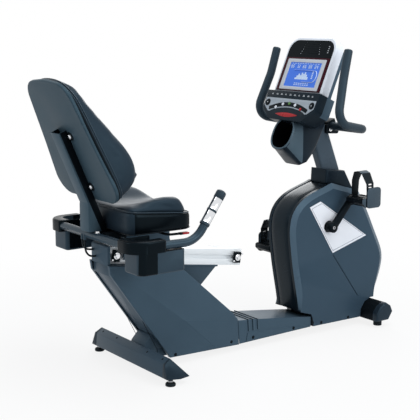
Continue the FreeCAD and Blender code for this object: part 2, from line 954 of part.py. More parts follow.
def make_beam_cover():
    """Cover over the spine between post and shroud, with three louvres and a lower skirt."""
    cover = new_body("beam_cover")
    knee = (137, s.cover_top - (137 - s.cover_back) * s.cover_fall)
    outline = [
        (s.cover_back, 30),
        (s.cover_front, 38),
        (s.cover_front, 85),
        knee,
        (s.cover_back - s.cover_rake, s.cover_top),
    ]
    side_plate(cover, "Pad", outline, -s.cover_half, s.cover_half)
    reach = s.cover_half + s.louvre_proud
    for number in range(3):
        rear = s.louvre_x + s.louvre_pitch * number
        front = rear + s.louvre_width
        top = s.cover_top - (rear - s.cover_back) * s.cover_fall + s.louvre_proud
        lean = s.cover_rake / 2
        louvre = [(rear, s.louvre_low), (front, s.louvre_low), (front - lean, top - 4), (rear - lean, top)]
        side_plate(cover, "Pad", louvre, -reach, reach)
        shelf = [(rear + 4, s.louvre_low - 1), (front + 1, s.louvre_low - 1), (front - lean + 1, top + 1),
                 (rear - lean + 4, top + 1)]
        for low, high in ((s.cover_half + 1.5, reach + 1), (-reach - 1, -s.cover_half - 1.5)):
            side_plate(cover, "Pocket", shelf, low, high)
    skirt = [(44, 33), (52, 74), (126, 70), (s.cover_front - 4, 44), (s.cover_front - 4, 38)]
    proud = s.cover_half + s.skirt_proud
    side_plate(cover, "Pad", skirt, -proud, proud)
    inner = s.cover_half - s.cover_wall
    wall = s.cover_wall
    inside = [
        (s.cover_back - 1, 20),
        (s.cover_front + 1, 20),
        (s.cover_front + 1, 85 - wall),
        (knee[0], knee[1] - wall),
        (s.cover_back - s.cover_rake - 1, s.cover_top - wall),
    ]
    side_plate(cover, "Pocket", inside, -inner, inner)


# ---------------------------------------------------------------- seat rail
def make_seat_rail():
    """Hollow aluminium extrusion with a running groove down each side."""
    rail = new_body("seat_rail")
    half, high = s.rail_half_width, s.rail_half_height
    floor = half - s.rail_groove_depth
    lip = s.rail_groove_half
    outline = [
        (-half, -high), (half, -high), (half, -lip), (floor, -lip), (floor, lip), (half, lip),
        (half, high), (-half, high), (-half, lip), (-floor, lip), (-floor, -lip), (-half, -lip),
    ]
    sketch = new_sketch(rail, "YZ_Plane", 0)
    add_outline(sketch, outline)
    core = floor - s.rail_wall
    add_outline(sketch, rectangle(-core, core, -high + s.rail_wall, high - s.rail_wall))
    feature(rail, "Pad", sketch, 0, s.rail_length)
    tilt_rail(rail)


def make_rail_stops():
    """Black stop blocks bolted to both sides of the rail near its ends."""
    stops = []
    for name, at in (("stop_back", s.stop_back_at), ("stop_front", (s.rail_length - s.stop_front_inset))):
        stop = new_body(name, keep=False)
        outline = rectangle(at - s.stop_length / 2, at + s.stop_length / 2,
                            -s.stop_half_height, s.stop_half_height)
        y_low = s.rail_half_width
        pad = side_plate(stop, "Pad", outline, y_low, y_low + s.stop_thick)
        dress(stop, "Fillet", pad, flat_edges(pad.Shape, 1, y_low + s.stop_thick), 3)
        tilt_rail(stop)
        twin = doc.addObject("Part::Mirroring", name + "_twin")
        twin.Source = stop
        twin.Normal = Y_AXIS
        stops += [stop, twin]
    group = doc.addObject("Part::Compound", "rail_end_stops")
    group.Label = "rail_end_stops"
    group.Links = stops
    NODES.append(group)


def make_rail_cover():
    """Rounded cover over the rear end of the rail, with two cable glands."""
    cover = new_body("rail_rear_cover")
    back = s.rail_cover_back
    outline = rectangle(back, back + s.rail_cover_thick, s.rail_cover_low, s.rail_cover_top)
    half = s.rail_cover_half
    pad = side_plate(cover, "Pad", outline, -half, half)
    corners = [(back, s.rail_cover_top)]
    names = straight_edges(pad.Shape, 1, corners)
    dress(cover, "Fillet", pad, names, 10)
    for y, z in ((s.cable_y, 517), (s.cable_y - 20, 492)):
        boss = [((y, z), s.cable_radius + 2)]
        cross_plate(cover, "Pad", None, back - 2, back, boss)


# ---------------------------------------------------------------- shroud
# Side outline of the shroud as x and z: two smooth stretches joined by straight ones.
SHROUD_REAR = [(537, 697), (437, 665), (352, 624), (310, 575), (294, 510), (299, 430), (316, 315),
               (337, 208), (352, 119)]
SHROUD_BASE = [(418, 98), (434, 56), (430, 39), (700, 36), (729, 36), (731, 74), (754, 106),
               (790, 122)]
SHROUD_FRONT = [(812, 122), (866, 259), (873, 311), (834, 415), (767, 545), (705, 648)]
SHROUD_TOP = [(600, 678)]


def shroud_wire(y, wall, bevel=0):
    """The shroud's side outline at one y, moved inwards by a wall and by the bevel."""
    loop = SHROUD_REAR + SHROUD_BASE + SHROUD_FRONT + SHROUD_TOP
    amounts = [wall + (bevel if z > 140 else 0) for x, z in loop]
    places = [Vector(x, float(y), z) for x, z in inset_loop(loop, amounts)]
    rear = places[:len(SHROUD_REAR)]
    front_start = len(SHROUD_REAR) + len(SHROUD_BASE)
    front = places[front_start:front_start + len(SHROUD_FRONT)]
    base = rear[-1:] + places[len(SHROUD_REAR):front_start] + front[:1]
    top = front[-1:] + places[front_start + len(SHROUD_FRONT):] + rear[:1]
    edges = [smooth(rear)] + straight_run(base) + [smooth(front)] + straight_run(top)
    return Part.Wire(edges)


def straight_run(places):
    return [Part.LineSegment(a, b).toShape() for a, b in zip(places, places[1:])]


def slab(wire, y_low, y_high):
    """The flat wire padded from y_low to y_high."""
    face = Part.Face(wire)
    face.translate(Vector(0, float(y_low), 0))
    return face.extrude(Vector(0, float(y_high) - float(y_low), 0))


def crowned_slab(wall):
    """The shroud's outline across the band's width, lower at both edges than in the middle."""
    half, crown, wall = float(s.band_half), float(s.band_crown), float(wall)
    over = 1 if wall else 0
    sections = [(-half - over, crown), (-half * 0.5, 0), (half * 0.5, 0), (half + over, crown)]
    wires = [shroud_wire(y, wall + drop) for y, drop in sections]
    return Part.makeLoft(wires, True, True)


def seam_cutter():
    """A thin wedge-shaped groove down the shroud's side, from the trim to the base."""
    start, end = Vector(541, 0, 371), Vector(712, 0, 140)
    across = Vector(end.z - start.z, 0, start.x - end.x).normalize() * (float(s.seam_width) / 2)
    corners = [start + across, end + across, end - across, start - across]
    loop = Part.makePolygon(corners + corners[:1])
    outer = float(s.shroud_outer)
    return slab(loop, outer - float(s.seam_depth), outer + 1)


def make_shrouds():
    """Left and right shroud halves and the dark band that joins them."""
    wall, bevel = float(s.shroud_wall), float(s.shroud_bevel)
    low, high = float(s.shroud_inner), float(s.shroud_outer)
    shoulder = high - float(s.shroud_shoulder)
    outer = [shroud_wire(low, 0), shroud_wire(shoulder, 0), shroud_wire(high, 0, bevel)]
    inner = [shroud_wire(low - 1, wall), shroud_wire(shoulder - 1, wall),
             shroud_wire(high - wall, wall, bevel)]
    half = Part.makeLoft(outer, True, True).cut(Part.makeLoft(inner, True, True))
    hole = Part.makeCylinder(float(s.hub_hole_radius), 40, point(s.crank_x, low, s.crank_z), Y_AXIS)
    left = shaped("shroud_left", half.cut([hole, seam_cutter()]).Solids[0])
    mirrored("shroud_right", left)
    ring = crowned_slab(0).cut(crowned_slab(s.band_wall))
    top_gap = Part.makeBox(250, 200, 200, Vector(522.5, -100, 625))
    low_gap = Part.makeBox(700, 200, 240, Vector(260, -100, -120))
    shaped("shroud_band", ring.cut(top_gap).cut(low_gap))


def make_crank_trims():
    """Pale trim plates round the cranks."""
    trim = new_body("crank_trim", keep=False)
    outline = [(397, 599), (461, 620), (752, 430), (541, 371)]
    outer = s.shroud_outer + s.trim_thick
    hole = [((s.crank_x, s.crank_z), s.hub_hole_radius)]
    side_plate(trim, "Pad", outline, s.shroud_outer, outer, hole)
    both_sides("crank_trims", trim)


# ---------------------------------------------------------------- drive
def make_crank_axle():
    axle = new_body("crank_axle")
    centre = (s.crank_x, s.crank_z)
    side_plate(axle, "Pad", None, -s.crank_inner, s.crank_inner, [(centre, s.axle_radius)])
    flange = s.pulley_low_y - 5
    side_plate(axle, "Pad", None, flange, s.pulley_low_y, [(centre, 30)])


def make_crank_bearings():
    ring = new_body("crank_bearing", keep=False)
    centre = (s.crank_x, s.crank_z)
    outer = s.shell_radius - 4
    bore = s.axle_radius + s.axle_clearance
    high = s.tower_half + s.tower_plate
    side_plate(ring, "Pad", None, high - s.bearing_width, high, [(centre, outer), (centre, bore)])
    both_sides("crank_bearings", ring)


def make_drive_pulley():
    """Spoked belt pulley on the crank axle."""
    pulley = new_body("drive_pulley")
    centre = (s.crank_x, s.crank_z)
    high = s.pulley_low_y + s.pulley_width
    rings = [(centre, s.pulley_radius), (centre, s.axle_radius)]
    holes = []
    for i in range(5):
        angle = math.radians(72 * i + 18)
        reach = 72
        spot = (s.crank_x + reach * math.cos(angle), s.crank_z + reach * math.sin(angle))
        holes.append((spot, 30))
    side_plate(pulley, "Pad", None, s.pulley_low_y, high, rings + holes)


def make_flywheel():
    """Flywheel with the small belt pulley on its hub."""
    wheel = new_body("flywheel")
    hub = (s.flywheel_x, s.flywheel_z)
    bore = s.flywheel_bore + s.axle_clearance
    low = -s.flywheel_gap - s.flywheel_width
    side_plate(wheel, "Pad", None, low, -s.flywheel_gap, [(hub, s.flywheel_radius), (hub, bore)])
    high = s.pulley_low_y + s.pulley_width
    side_plate(wheel, "Pad", None, -s.flywheel_gap, high, [(hub, s.small_pulley_radius), (hub, bore)])


def make_brake_magnet():
    """Eddy-current brake: a yoke that straddles the flywheel's rim."""
    yoke = new_body("brake_magnet")
    half = 62
    hub_x, rim = s.flywheel_x, s.flywheel_z - s.flywheel_radius
    outline = rectangle(hub_x - half, hub_x + half, s.beam_top, rim + 40)
    low = -s.flywheel_gap - s.flywheel_width
    side_plate(yoke, "Pad", outline, low - 4.5, -s.flywheel_gap + 4.5)
    slot = rectangle(hub_x - half - 1, hub_x + half + 1, rim - 2, rim + 41)
    side_plate(yoke, "Pocket", slot, low - 1, -s.flywheel_gap + 1)


def make_drive_belt():
    """Flat belt round both pulleys: two arcs and their outer tangents."""
    big = point(s.crank_x, 0, s.crank_z)
    small = point(s.flywheel_x, 0, s.flywheel_z)
    gap = 0.3

    def loop(extra):
        big_r = float(s.pulley_radius) + extra
        small_r = float(s.small_pulley_radius) + extra
        span = small - big
        base = math.atan2(span.z, span.x)
        lean = math.acos((big_r - small_r) / span.Length)
        spots = []
        for middle, radius in ((big, big_r), (small, small_r)):
            for sign in (1, -1):
                angle = base + sign * lean
                offset = Vector(math.cos(angle), 0, math.sin(angle)) * radius
                spots.append(middle + offset)
        away = span.normalize() * -1
        back = big + away * big_r
        nose = small - away * small_r
        return Part.Wire([
            Part.Arc(spots[1], back, spots[0]).toShape(),
            Part.LineSegment(spots[0], spots[2]).toShape(),
            Part.Arc(spots[2], nose, spots[3]).toShape(),
            Part.LineSegment(spots[3], spots[1]).toShape(),
        ])

    low = float(s.pulley_low_y) + 1
    high = low + float(s.pulley_width) - 2
    outer = slab(loop(gap + float(s.belt_thick)), low, high)
    shaped("drive_belt", outer.cut(slab(loop(gap), low - 1, high + 1)))


def make_crank(side, sign):
    """Crank arm with the pedal's spindle."""
    angle = float(s.crank_angle)
    reach = float(s.crank_length)
    dx = reach * math.cos(math.radians(angle)) * sign
    dz = reach * math.sin(math.radians(angle)) * sign
    hub = point(s.crank_x, 0, s.crank_z)
    tip = hub + Vector(dx, 0, dz)
    inner, outer = float(s.crank_inner), float(s.crank_outer)
    y_sign = -1 if side == "right" else 1

    def disc(centre, radius, y_low, y_high):
        low = min(y_sign * y_low, y_sign * y_high)
        start = Vector(centre.x, low, centre.z)
        return Part.makeCylinder(float(radius), abs(y_high - y_low), start, Y_AXIS)

    boss = disc(hub, s.crank_boss_radius, 94, outer)
    eye = disc(tip, s.crank_tip_radius, inner, outer)
    along = (tip - hub).normalize()
    across = Vector(-along.z, 0, along.x)
    wide, narrow = 17, 13
    corners = [hub + across * wide, tip + across * narrow, tip - across * narrow, hub - across * wide]
    loop = Part.makePolygon(corners + corners[:1])
    if y_sign > 0:
        arm = slab(loop, inner, outer)
    else:
        arm = slab(loop, -outer, -inner)
    spindle_end = outer + float(s.spindle_length)
    spindle = disc(tip, s.spindle_radius, outer - 4, spindle_end)
    bore = disc(hub, s.axle_radius, 90, inner)
    crank = boss.fuse([eye, arm, spindle]).cut(bore).removeSplitter()
    shaped("crank_" + side, crank)
    return tip, y_sign


def make_pedal(side, tip, y_sign):
    """Toothed pedal cage with its bearing bore and buckle plate, and the strap that arches over it."""
    pedal = new_body("pedal_cage_" + side, keep=False)
    start = s.crank_outer + s.pedal_gap
    end = start + s.pedal_width

    def across(low, high):
        return (low, high) if y_sign > 0 else (-high, -low)

    half = s.pedal_chord / 2
    x, z = tip.x, tip.z
    top = z + s.pedal_above
    low = z - s.pedal_below
    outline = [
        (x - half, top - 6), (x - half + 8, top), (x + half - 8, top), (x + half, top - 6),
        (x + half, z - 6), (x + half - 22, low), (x - half + 22, low), (x - half, z - 6),
    ]
    bore = [((x, z), s.spindle_radius + s.axle_clearance)]
    side_plate(pedal, "Pad", outline, *across(start, end), bore)
    rail = s.pedal_rail
    window_low, window_high = across(start + rail, end - rail)
    barrel = s.spindle_radius + 8
    windows = new_sketch(pedal, "XY_Plane", low - 1)
    add_outline(windows, rectangle(x - half + rail, x - barrel, window_low, window_high))
    add_outline(windows, rectangle(x + barrel, x + half - rail, window_low, window_high))
    feature(pedal, "Pocket", windows, low - 1, top + 1)
    notches = new_sketch(pedal, "XY_Plane", top - s.pedal_tooth_deep)
    pitch = (s.pedal_width - 2 * rail) / s.pedal_teeth
    for number in range(int(s.pedal_teeth.value)):
        near = start + rail + pitch * (number + 0.25)
        tooth_low, tooth_high = across(near, near + pitch / 2)
        add_outline(notches, rectangle(x - half - 1, x - half + rail + 1, tooth_low, tooth_high))
        add_outline(notches, rectangle(x + half - rail - 1, x + half + 1, tooth_low, tooth_high))
    feature(pedal, "Pocket", notches, top - s.pedal_tooth_deep, top + 1)
    outline = rectangle(x - s.buckle_back, x + s.buckle_front, z - s.buckle_low, z + s.buckle_high)
    buckle = new_body("pedal_buckle_" + side, keep=False)
    pad = side_plate(buckle, "Pad", outline, *across(end, end + s.buckle_thick))
    dress(buckle, "Fillet", pad, straight_edges(pad.Shape, 1, outline), s.buckle_corner)
    fused("pedal_" + side, [pedal, buckle])
    strap = new_body("pedal_strap_" + side)
    foot = top + 0.3
    rise = s.strap_rise
    arch = [
        (start + 2, foot), (start + 4, foot + rise * 0.6), (start + 22, foot + rise * 0.95),
        (start + 47, foot + rise), (start + 72, foot + rise * 0.93), (end - 4, foot + rise * 0.55),
        (end - 2, foot),
    ]
    thick_s = s.strap_thick
    inner = [
        (end - 2 - thick_s, foot), (end - 4 - thick_s, foot + rise * 0.53),
        (start + 71, foot + rise * 0.93 - thick_s), (start + 47, foot + rise - thick_s),
        (start + 23, foot + rise * 0.95 - thick_s), (start + 4 + thick_s, foot + rise * 0.58),
        (start + 2 + thick_s, foot),
    ]
    loop = [(y * y_sign, level) for y, level in arch + inner]
    wide = s.strap_width / 2
    cross_plate(strap, "Pad", loop, x - wide, x + wide)
    slots = new_sketch(strap, "XZ_Plane", -as_size(across(end - 20, end)[1]))
    for number in range(int(s.strap_slots.value)):
        level = foot + s.strap_slot_first + s.strap_slot_pitch * number
        slot = s.strap_slot_long / 2
        add_outline(slots, rectangle(x - slot, x + slot, level, level + s.strap_slot_high))
    feature(strap, "Pocket", slots, *across(end - 20, end))


# ---------------------------------------------------------------- mast and console
def mast_form(name, grow, low, high, ahead=0):
    """The mast's rounded section, grown all round and drawn out along the mast."""
    form = new_body(name, keep=False)
    half, wide = s.mast_depth / 2 + grow, s.mast_width / 2 + grow
    outline = rectangle(-half, half + ahead, -wide, wide)
    pad = floor_plate(form, "Pad", outline, low, high)
    dress(form, "Fillet", pad, straight_edges(pad.Shape, 2, outline), s.mast_corner + grow)
    tilt_mast(form)
    return form


def make_mast():
    outer = mast_form("mast_outer", 0, -s.mast_sunk, s.mast_length)
    inner = mast_form("mast_inner", -s.mast_wall, -s.mast_sunk - 1, s.mast_length + 1)
    cut_away("mast", outer, inner)


def mast_room(name, ahead):
    """The mast's outer shape grown by its clearance, used to cut other covers."""
    return mast_form(name, 0.4, -s.mast_sunk - 60, s.mast_length + 0.4, ahead)


def make_collar():
    """Housing on top of the shroud that the mast comes out of."""
    shell = new_body("collar_shell", keep=False)
    half = s.collar_low_half
    outline = [(527, 757), (523, 693), (600, 677), (702, 642), (641, 743)]
    pad = side_plate(shell, "Pad", outline, -half, half)
    dress(shell, "Fillet", pad, flat_edges(pad.Shape, 1, half) + flat_edges(pad.Shape, 1, -half),
          s.collar_edge)
    inside = [(530.5, 753.5), (526.5, 684), (600, 665), (706, 625), (638, 739.5)]
    inner = half - s.collar_wall
    side_plate(shell, "Pocket", inside, -inner, inner)
    cut_away("mast_collar", shell, mast_room("mast_room_low", 0))


def cup_form(name, grow, start, end):
    """The bottle cup's opening with its round corners, grown all round by grow."""
    form = new_body(name, keep=False)
    wide, high = s.bottle_wide + grow, s.bottle_high + grow
    outline = rectangle(-wide, wide, s.bottle_v - high, s.bottle_v + high)
    pad = cross_plate(form, "Pad", outline, start, end)
    dress(form, "Fillet", pad, straight_edges(pad.Shape, 0, outline), s.bottle_corner + grow)
    return form


def make_bottle_holder():
    """Neck under the console: cheeks beside the mast and a bottle cup facing the rider."""
    body = new_body("neck", keep=False)
    outline = [
        on_face(14, -150.3),
        on_face(14, -262),
        (402, 797),
        (462, 825),
        (516, 927),
        (508, 1000),
        on_face(75.3, -62),
        on_face(75.3, -150.3),
    ]
    half = s.bottle_half
    pad = side_plate(body, "Pad", outline, -half, half)
    soft = dress(body, "Fillet", pad, straight_edges(pad.Shape, 1, [(402, 797), (462, 825)]), 34)
    rims = flat_edges(soft.Shape, 1, half) + flat_edges(soft.Shape, 1, -half)
    dress(body, "Fillet", soft, rims, s.bottle_edge)
    mouth = -s.bottle_lip
    cup = cup_form("cup", s.bottle_rim, mouth, mouth + s.bottle_long)
    end = flat_edges(cup.Tip.Shape, 0, mouth + s.bottle_long)
    dress(cup, "Fillet", cup.Tip, end, 40)
    tilt_face(cup)
    bore = cup_form("cup_bore", 0, mouth - 2, mouth + s.bottle_depth)
    tilt_face(bore)
    seat = new_body("console_seat", keep=False)
    cross_plate(seat, "Pad", rectangle(-90, 90, -150.3, -62), mouth - 12, 75.3)
    tilt_face(seat)
    shell = fused("neck_and_cup", [body, cup], keep=False)
    hollowed = cut_away("neck_bored", shell, bore, keep=False)
    seated = cut_away("neck_seated", hollowed, seat, keep=False)
    cut_away("bottle_holder", seated, mast_room("mast_room_high", 60))


def rounded_face(label, half, low, top, x_low, x_high, corner, keep=True):
    """A plate parallel to the console's face with round top corners."""
    plate = new_body(label, keep=keep)
    outline = [(-half, low), (half, low), (half, top), (-half, top)]
    pad = cross_plate(plate, "Pad", outline, x_low, x_high)
    names = straight_edges(pad.Shape, 0, [(half, top), (-half, top)])
    dress(plate, "Fillet", pad, names, corner)
    return plate


def make_console():
    bezel = rounded_face("console_bezel", s.bezel_half, s.bezel_low, s.bezel_top, 0, s.bezel_deep, 62)
    rim = flat_edges(bezel.Tip.Shape, 0, 0)
    dress(bezel, "Fillet", bezel.Tip, rim, s.bezel_edge)
    tilt_face(bezel)
    lens = rounded_face("console_fascia", s.lens_half, s.lens_low, s.lens_top, -s.lens_proud, 0, 52)
    window = s.screen_half + 0.3
    opening = rectangle(-window, window, s.screen_low - 0.3, s.screen_top + 0.3)
    cross_plate(lens, "Pocket", opening, -s.lens_proud - 1, 1)
    grille = new_sketch(lens, "YZ_Plane", -s.lens_proud - 1)
    for number in range(6):
        half = s.grille_half - s.grille_taper * number
        low = s.grille_low + s.grille_pitch * number
        add_outline(grille, rectangle(-half, half, low, low + s.grille_slot))
    feature(lens, "Pocket", grille, -s.lens_proud - 1, 1)
    tilt_face(lens)
    display = new_body("display")
    outline = rectangle(-s.screen_half, s.screen_half, s.screen_low, s.screen_top)
    cross_plate(display, "Pad", outline, -s.screen_proud, 0)
    tilt_face(display)
    back = new_body("console_back")
    half = s.bezel_half - 4
    upper = [(-half, s.deck_top), (half, s.deck_top), (half, 190), (half - 50, 244),
             (50 - half, 244), (-half, 190)]
    cross_plate(back, "Pad", upper, s.bezel_deep, 66)
    deck = s.deck_half
    lower = [(-deck, s.deck_top), (-deck, -100), (-110, -150), (110, -150), (deck, -100),
             (deck, s.deck_top)]
    pad = cross_plate(back, "Pad", lower, -s.deck_rise, 75)
    outer = straight_edges(pad.Shape, 0, [(-deck, -100), (deck, -100)])
    soft = dress(back, "Fillet", pad, outer, 30)
    inner = straight_edges(soft.Shape, 0, [(-110, -150), (110, -150)])
    dress(back, "Fillet", soft, inner, 24)
    cross_plate(back, "Pocket", None, -s.deck_rise - 1, s.key_travel + s.key_below + 1 - s.deck_rise,
                key_holes())
    tilt_face(back)
    keypad = new_body("keypad_panel")
    pad_half = s.keypad_half
    outline = [(-pad_half, s.keypad_top), (-pad_half, -92), (-120, s.keypad_low), (0, -100),
               (120, s.keypad_low), (pad_half, -92), (pad_half, s.keypad_top)]
    front = -s.deck_rise - s.keypad_proud
    cross_plate(keypad, "Pad", outline, front, -s.deck_rise, key_holes())
    tilt_face(keypad)


def key_spots():
    """Name and place of every push key on the keypad, in the console's face."""
    names = ("key_level_down", "key_1", "key_2", "key_3", "key_4", "key_5", "key_level_up")
    spots = [(-s.key_side_at, s.key_side_v)]
    for i in range(-2, 3):
        y = 42 * i
        spots.append((as_size(y), s.key_side_v - 0.0032 * y * y + 2))
    spots.append((s.key_side_at, s.key_side_v))
    return list(zip(names, spots))


def key_holes():
    return [(spot, s.key_radius + s.key_gap) for name, spot in key_spots()]


def make_keys():
    front = -s.deck_rise - s.keypad_proud - 2.5
    for name, spot in key_spots():
        key = new_body(name)
        cross_plate(key, "Pad", None, front, s.key_below - s.deck_rise, [(spot, s.key_radius)])
        tilt_face(key)


def make_front_handlebar():
    """One tube bent into two uprights, side runs and a crossbar ahead of the mast."""
    left = [
        (s.bar_top_x, s.bar_top_y, s.bar_top_z),
        (s.bar_kink_x, s.bar_kink_y, s.bar_kink_z),
        (s.bar_low_x, s.bar_low_y, s.bar_low_z),
        (s.bar_front_x, s.bar_front_y, s.bar_front_z),
    ]
    right = [(x, -y, z) for x, y, z in reversed(left)]
    bends = [s.bar_kink_bend, s.bar_low_bend, s.bar_front_bend]
    path = bent_path(left + right, bends + bends[::-1])
    outer = swept_round(path, s.bar_radius)
    inner = swept_round(path, s.bar_radius - s.bar_wall)
    shaped("front_handlebar", outer.cut(inner))


def make_bar_clamp():
    """Black bracket that holds the crossbar to the front of the mast."""
    clamp = new_body("bar_clamp")
    face = s.mast_depth / 2
    ahead = (s.bar_front_x - s.mast_base_x) * cos(s.mast_lean) \
        + (s.bar_front_z - s.mast_base_z) * sin(s.mast_lean)
    up = (s.bar_front_z - s.mast_base_z) * cos(s.mast_lean) \
        - (s.bar_front_x - s.mast_base_x) * sin(s.mast_lean)
    reach = s.bar_radius + s.clamp_thick
    outline = rectangle(face, ahead + reach, up - reach, up + reach)
    half = s.clamp_width / 2
    side_plate(clamp, "Pad", outline, -half, half, [((ahead, up), s.bar_radius + 0.1)])
    tilt_mast(clamp)


# ---------------------------------------------------------------- seat
def make_carriage():
    """Channel that runs on the rail, and the level deck that carries the seat."""
    channel = new_body("carriage_channel", keep=False)
    back = s.carriage_back
    front = back + s.carriage_length
    inner = s.rail_half_width + s.carriage_gap
    outer = inner + s.carriage_plate
    top = s.rail_half_height + 2 * s.roller_radius + 4
    side_plate(channel, "Pad", rectangle(back, front, top, top + s.carriage_plate), -outer, outer)
    axle_up = s.rail_half_height + s.roller_radius + 0.3
    holes = []
    for at in (back + s.roller_inset, front - s.roller_inset):
        holes.append(((at, axle_up), s.roller_axle + s.axle_clearance))
    low = -s.rail_groove_half - 6
    for y_low, y_high in ((inner, outer), (-outer, -inner)):
        side_plate(channel, "Pad", rectangle(back, front, low, top), y_low, y_high, holes)
    slider = s.rail_groove_half - 0.4
    bottom = s.rail_half_width - s.rail_groove_depth + 0.4
    for y_low, y_high in ((bottom, inner), (-inner, -bottom)):
        side_plate(channel, "Pad", rectangle(back + 10, front - 10, -slider, slider), y_low, y_high)
    tilt_rail(channel)
    deck = new_body("seat_deck", keep=False)
    tube_front = s.cross_x + s.tube_radius + 0.4
    half = s.seat_frame_half
    deck_top = s.deck_plate_z + 6
    floor_plate(deck, "Pad", rectangle(tube_front, -350, -half, half), s.deck_plate_z, deck_top)
    for y_low, y_high in ((half - 30, half), (-half, 30 - half)):
        floor_plate(deck, "Pad", rectangle(tube_front, -360, y_low, y_high), deck_top, s.seat_plate_z)
    middle = rectangle(tube_front, s.pan_back - 4, -s.bracket_half, s.bracket_half)
    floor_plate(deck, "Pad", middle, deck_top, s.seat_plate_z)
    rear_top = on_rail(back + 2, top + 2)
    front_top = on_rail(front - 2, top + 2)
    web = [rear_top, front_top, (front_top[0], s.deck_plate_z), (rear_top[0], s.deck_plate_z)]
    for y_low, y_high in ((inner, outer), (-outer, -inner)):
        side_plate(deck, "Pad", web, y_low, y_high)
    pivot = (s.lever_pivot_x, s.lever_pivot_z)
    lug = rectangle(s.lever_pivot_x - 9, s.lever_pivot_x + 9, s.deck_plate_z, s.lever_pivot_z + 9)
    bore = [(pivot, s.lever_radius + s.axle_clearance)]
    side_plate(deck, "Pad", lug, -half - 12, -half, bore)
    fused("seat_carriage", [channel, deck])
    return axle_up, back + s.roller_inset, front - s.roller_inset


def make_rollers(axle_up, rear, front):
    """Two axles, each with a pair of wheels that run on top of the rail."""
    outer = s.rail_half_width + s.carriage_gap + s.carriage_plate + 3
    for name, at in (("rollers_rear", rear), ("rollers_front", front)):
        roller = new_body(name)
        centre = (at, axle_up)
        side_plate(roller, "Pad", None, -outer, outer, [(centre, s.roller_axle)])
        half = s.roller_width / 2
        for y in (s.roller_y, -s.roller_y):
            side_plate(roller, "Pad", None, y - half, y + half, [(centre, s.roller_radius)])
        tilt_rail(roller)


def seat_bar_path():
    """Centre line of the U-shaped tube, with its end point and the slope of its arms."""
    rise = math.radians(float(s.arm_rise))
    reach = float(s.arm_reach)
    end_x = float(s.arm_bend_x) + reach * math.cos(rise)
    end_z = float(s.arm_z) + reach * math.sin(rise)
    left = [
        (end_x, s.arm_y, end_z),
        (s.arm_bend_x, s.arm_y, s.arm_z),
        (s.cross_x, s.arm_y, s.cross_z),
    ]
    right = [(x, -y, z) for x, y, z in reversed(left)]
    bends = [s.arm_bend, s.corner_bend]
    return bent_path(left + right, bends + bends[::-1]), end_x, end_z, rise


def make_seat_handlebar():
    """U-shaped tube behind and beside the seat, rising to the grips."""
    path, end_x, end_z, rise = seat_bar_path()
    bore = swept_round(path, s.tube_radius - s.tube_wall)
    tube = swept_round(path, s.tube_radius).cut(bore)
    for y in (s.cable_y, s.cable_y - 20):
        low = point(s.cross_x - 14, y, 565)
        gland = Part.makeCylinder(float(s.cable_radius) + 2, 22, low).cut(bore)
        tube = tube.fuse(gland.Solids[0])
    shaped("seat_handlebar", tube)
    return end_x, end_z, rise


def make_grips(end_x, end_z, rise):
    """Pulse grips: sleeves over the ends of the seat handlebar."""
    axis = Vector(math.cos(rise), 0, math.sin(rise))
    end = Vector(end_x, float(s.arm_y), end_z)
    start = end - axis * float(s.grip_length)
    bore_radius = float(s.tube_radius) + 0.2
    sleeve = Part.makeCylinder(float(s.grip_radius), float(s.grip_length) + 12, start, axis)
    bore = Part.makeCylinder(bore_radius, float(s.grip_length) + 0.3, start, axis)
    grip = shaped("pulse_grip", sleeve.cut(bore), keep=False)
    both_sides("pulse_grips", grip)


def make_side_pockets():
    """Moulded cover round each corner of the seat handlebar, with an open pocket under it."""
    wall = s.pocket_wall
    outer = s.arm_y + s.tube_radius + wall
    inner = outer - s.pocket_width
    rear = s.cross_x - s.tube_radius - wall
    cover = new_body("corner_cover", keep=False)
    low = s.arm_z - s.tube_radius - wall
    pad = floor_plate(cover, "Pad", rectangle(rear, s.cover_end_x, inner, outer), low, s.tray_top)
    corner = straight_edges(pad.Shape, 2, [(rear, outer)])
    soft = dress(cover, "Fillet", pad, corner, s.corner_bend + s.tube_radius + wall)
    others = straight_edges(soft.Shape, 2, [(rear, inner), (s.cover_end_x, inner), (s.cover_end_x, outer)])
    soft = dress(cover, "Fillet", soft, others, 12)
    dress(cover, "Fillet", soft, flat_edges(soft.Shape, 2, s.tray_top), s.cover_edge)
    back, front = s.pocket_back, s.pocket_front
    tub = new_body("pocket_tub", keep=False)
    plan = rectangle(back, front, inner, outer - 1)
    pad = floor_plate(tub, "Pad", plan, s.pocket_low, low + wall / 2)
    near = straight_edges(pad.Shape, 2, [(back, outer - 1)])
    soft = dress(tub, "Fillet", pad, near, s.pocket_corner)
    rest = straight_edges(soft.Shape, 2, [(front, outer - 1), (front, inner), (back, inner)])
    soft = dress(tub, "Fillet", soft, rest, s.pocket_corner / 2)
    dress(tub, "Fillet", soft, flat_edges(soft.Shape, 2, s.pocket_low), s.pocket_edge)
    both = fused("cover_and_tub", [cover, tub], keep=False)
    path = seat_bar_path()[0]
    room = shaped("seat_bar_room", swept_round(path, s.tube_radius + s.tube_clearance), keep=False)
    sleeved = cut_away("sleeved_cover", both, room, keep=False)
    mouth = new_body("pocket_mouth", keep=False)
    mouth_rear = s.cross_x + s.tube_radius + wall
    mouth_outer = s.arm_y - s.tube_radius - wall
    plan = rectangle(mouth_rear, front - wall, inner + wall, mouth_outer)
    pad = floor_plate(mouth, "Pad", plan, s.pocket_low + wall, s.tray_top + 1)
    corner = straight_edges(pad.Shape, 2, [(mouth_rear, mouth_outer)])
    soft = dress(mouth, "Fillet", pad, corner, s.corner_bend - s.tube_radius)
    rest = straight_edges(soft.Shape, 2, [plan[0], plan[1], plan[2]])
    dress(mouth, "Fillet", soft, rest, 9)
    pocket = cut_away("side_pocket", sleeved, mouth, keep=False)
    both_sides("side_pockets", pocket)


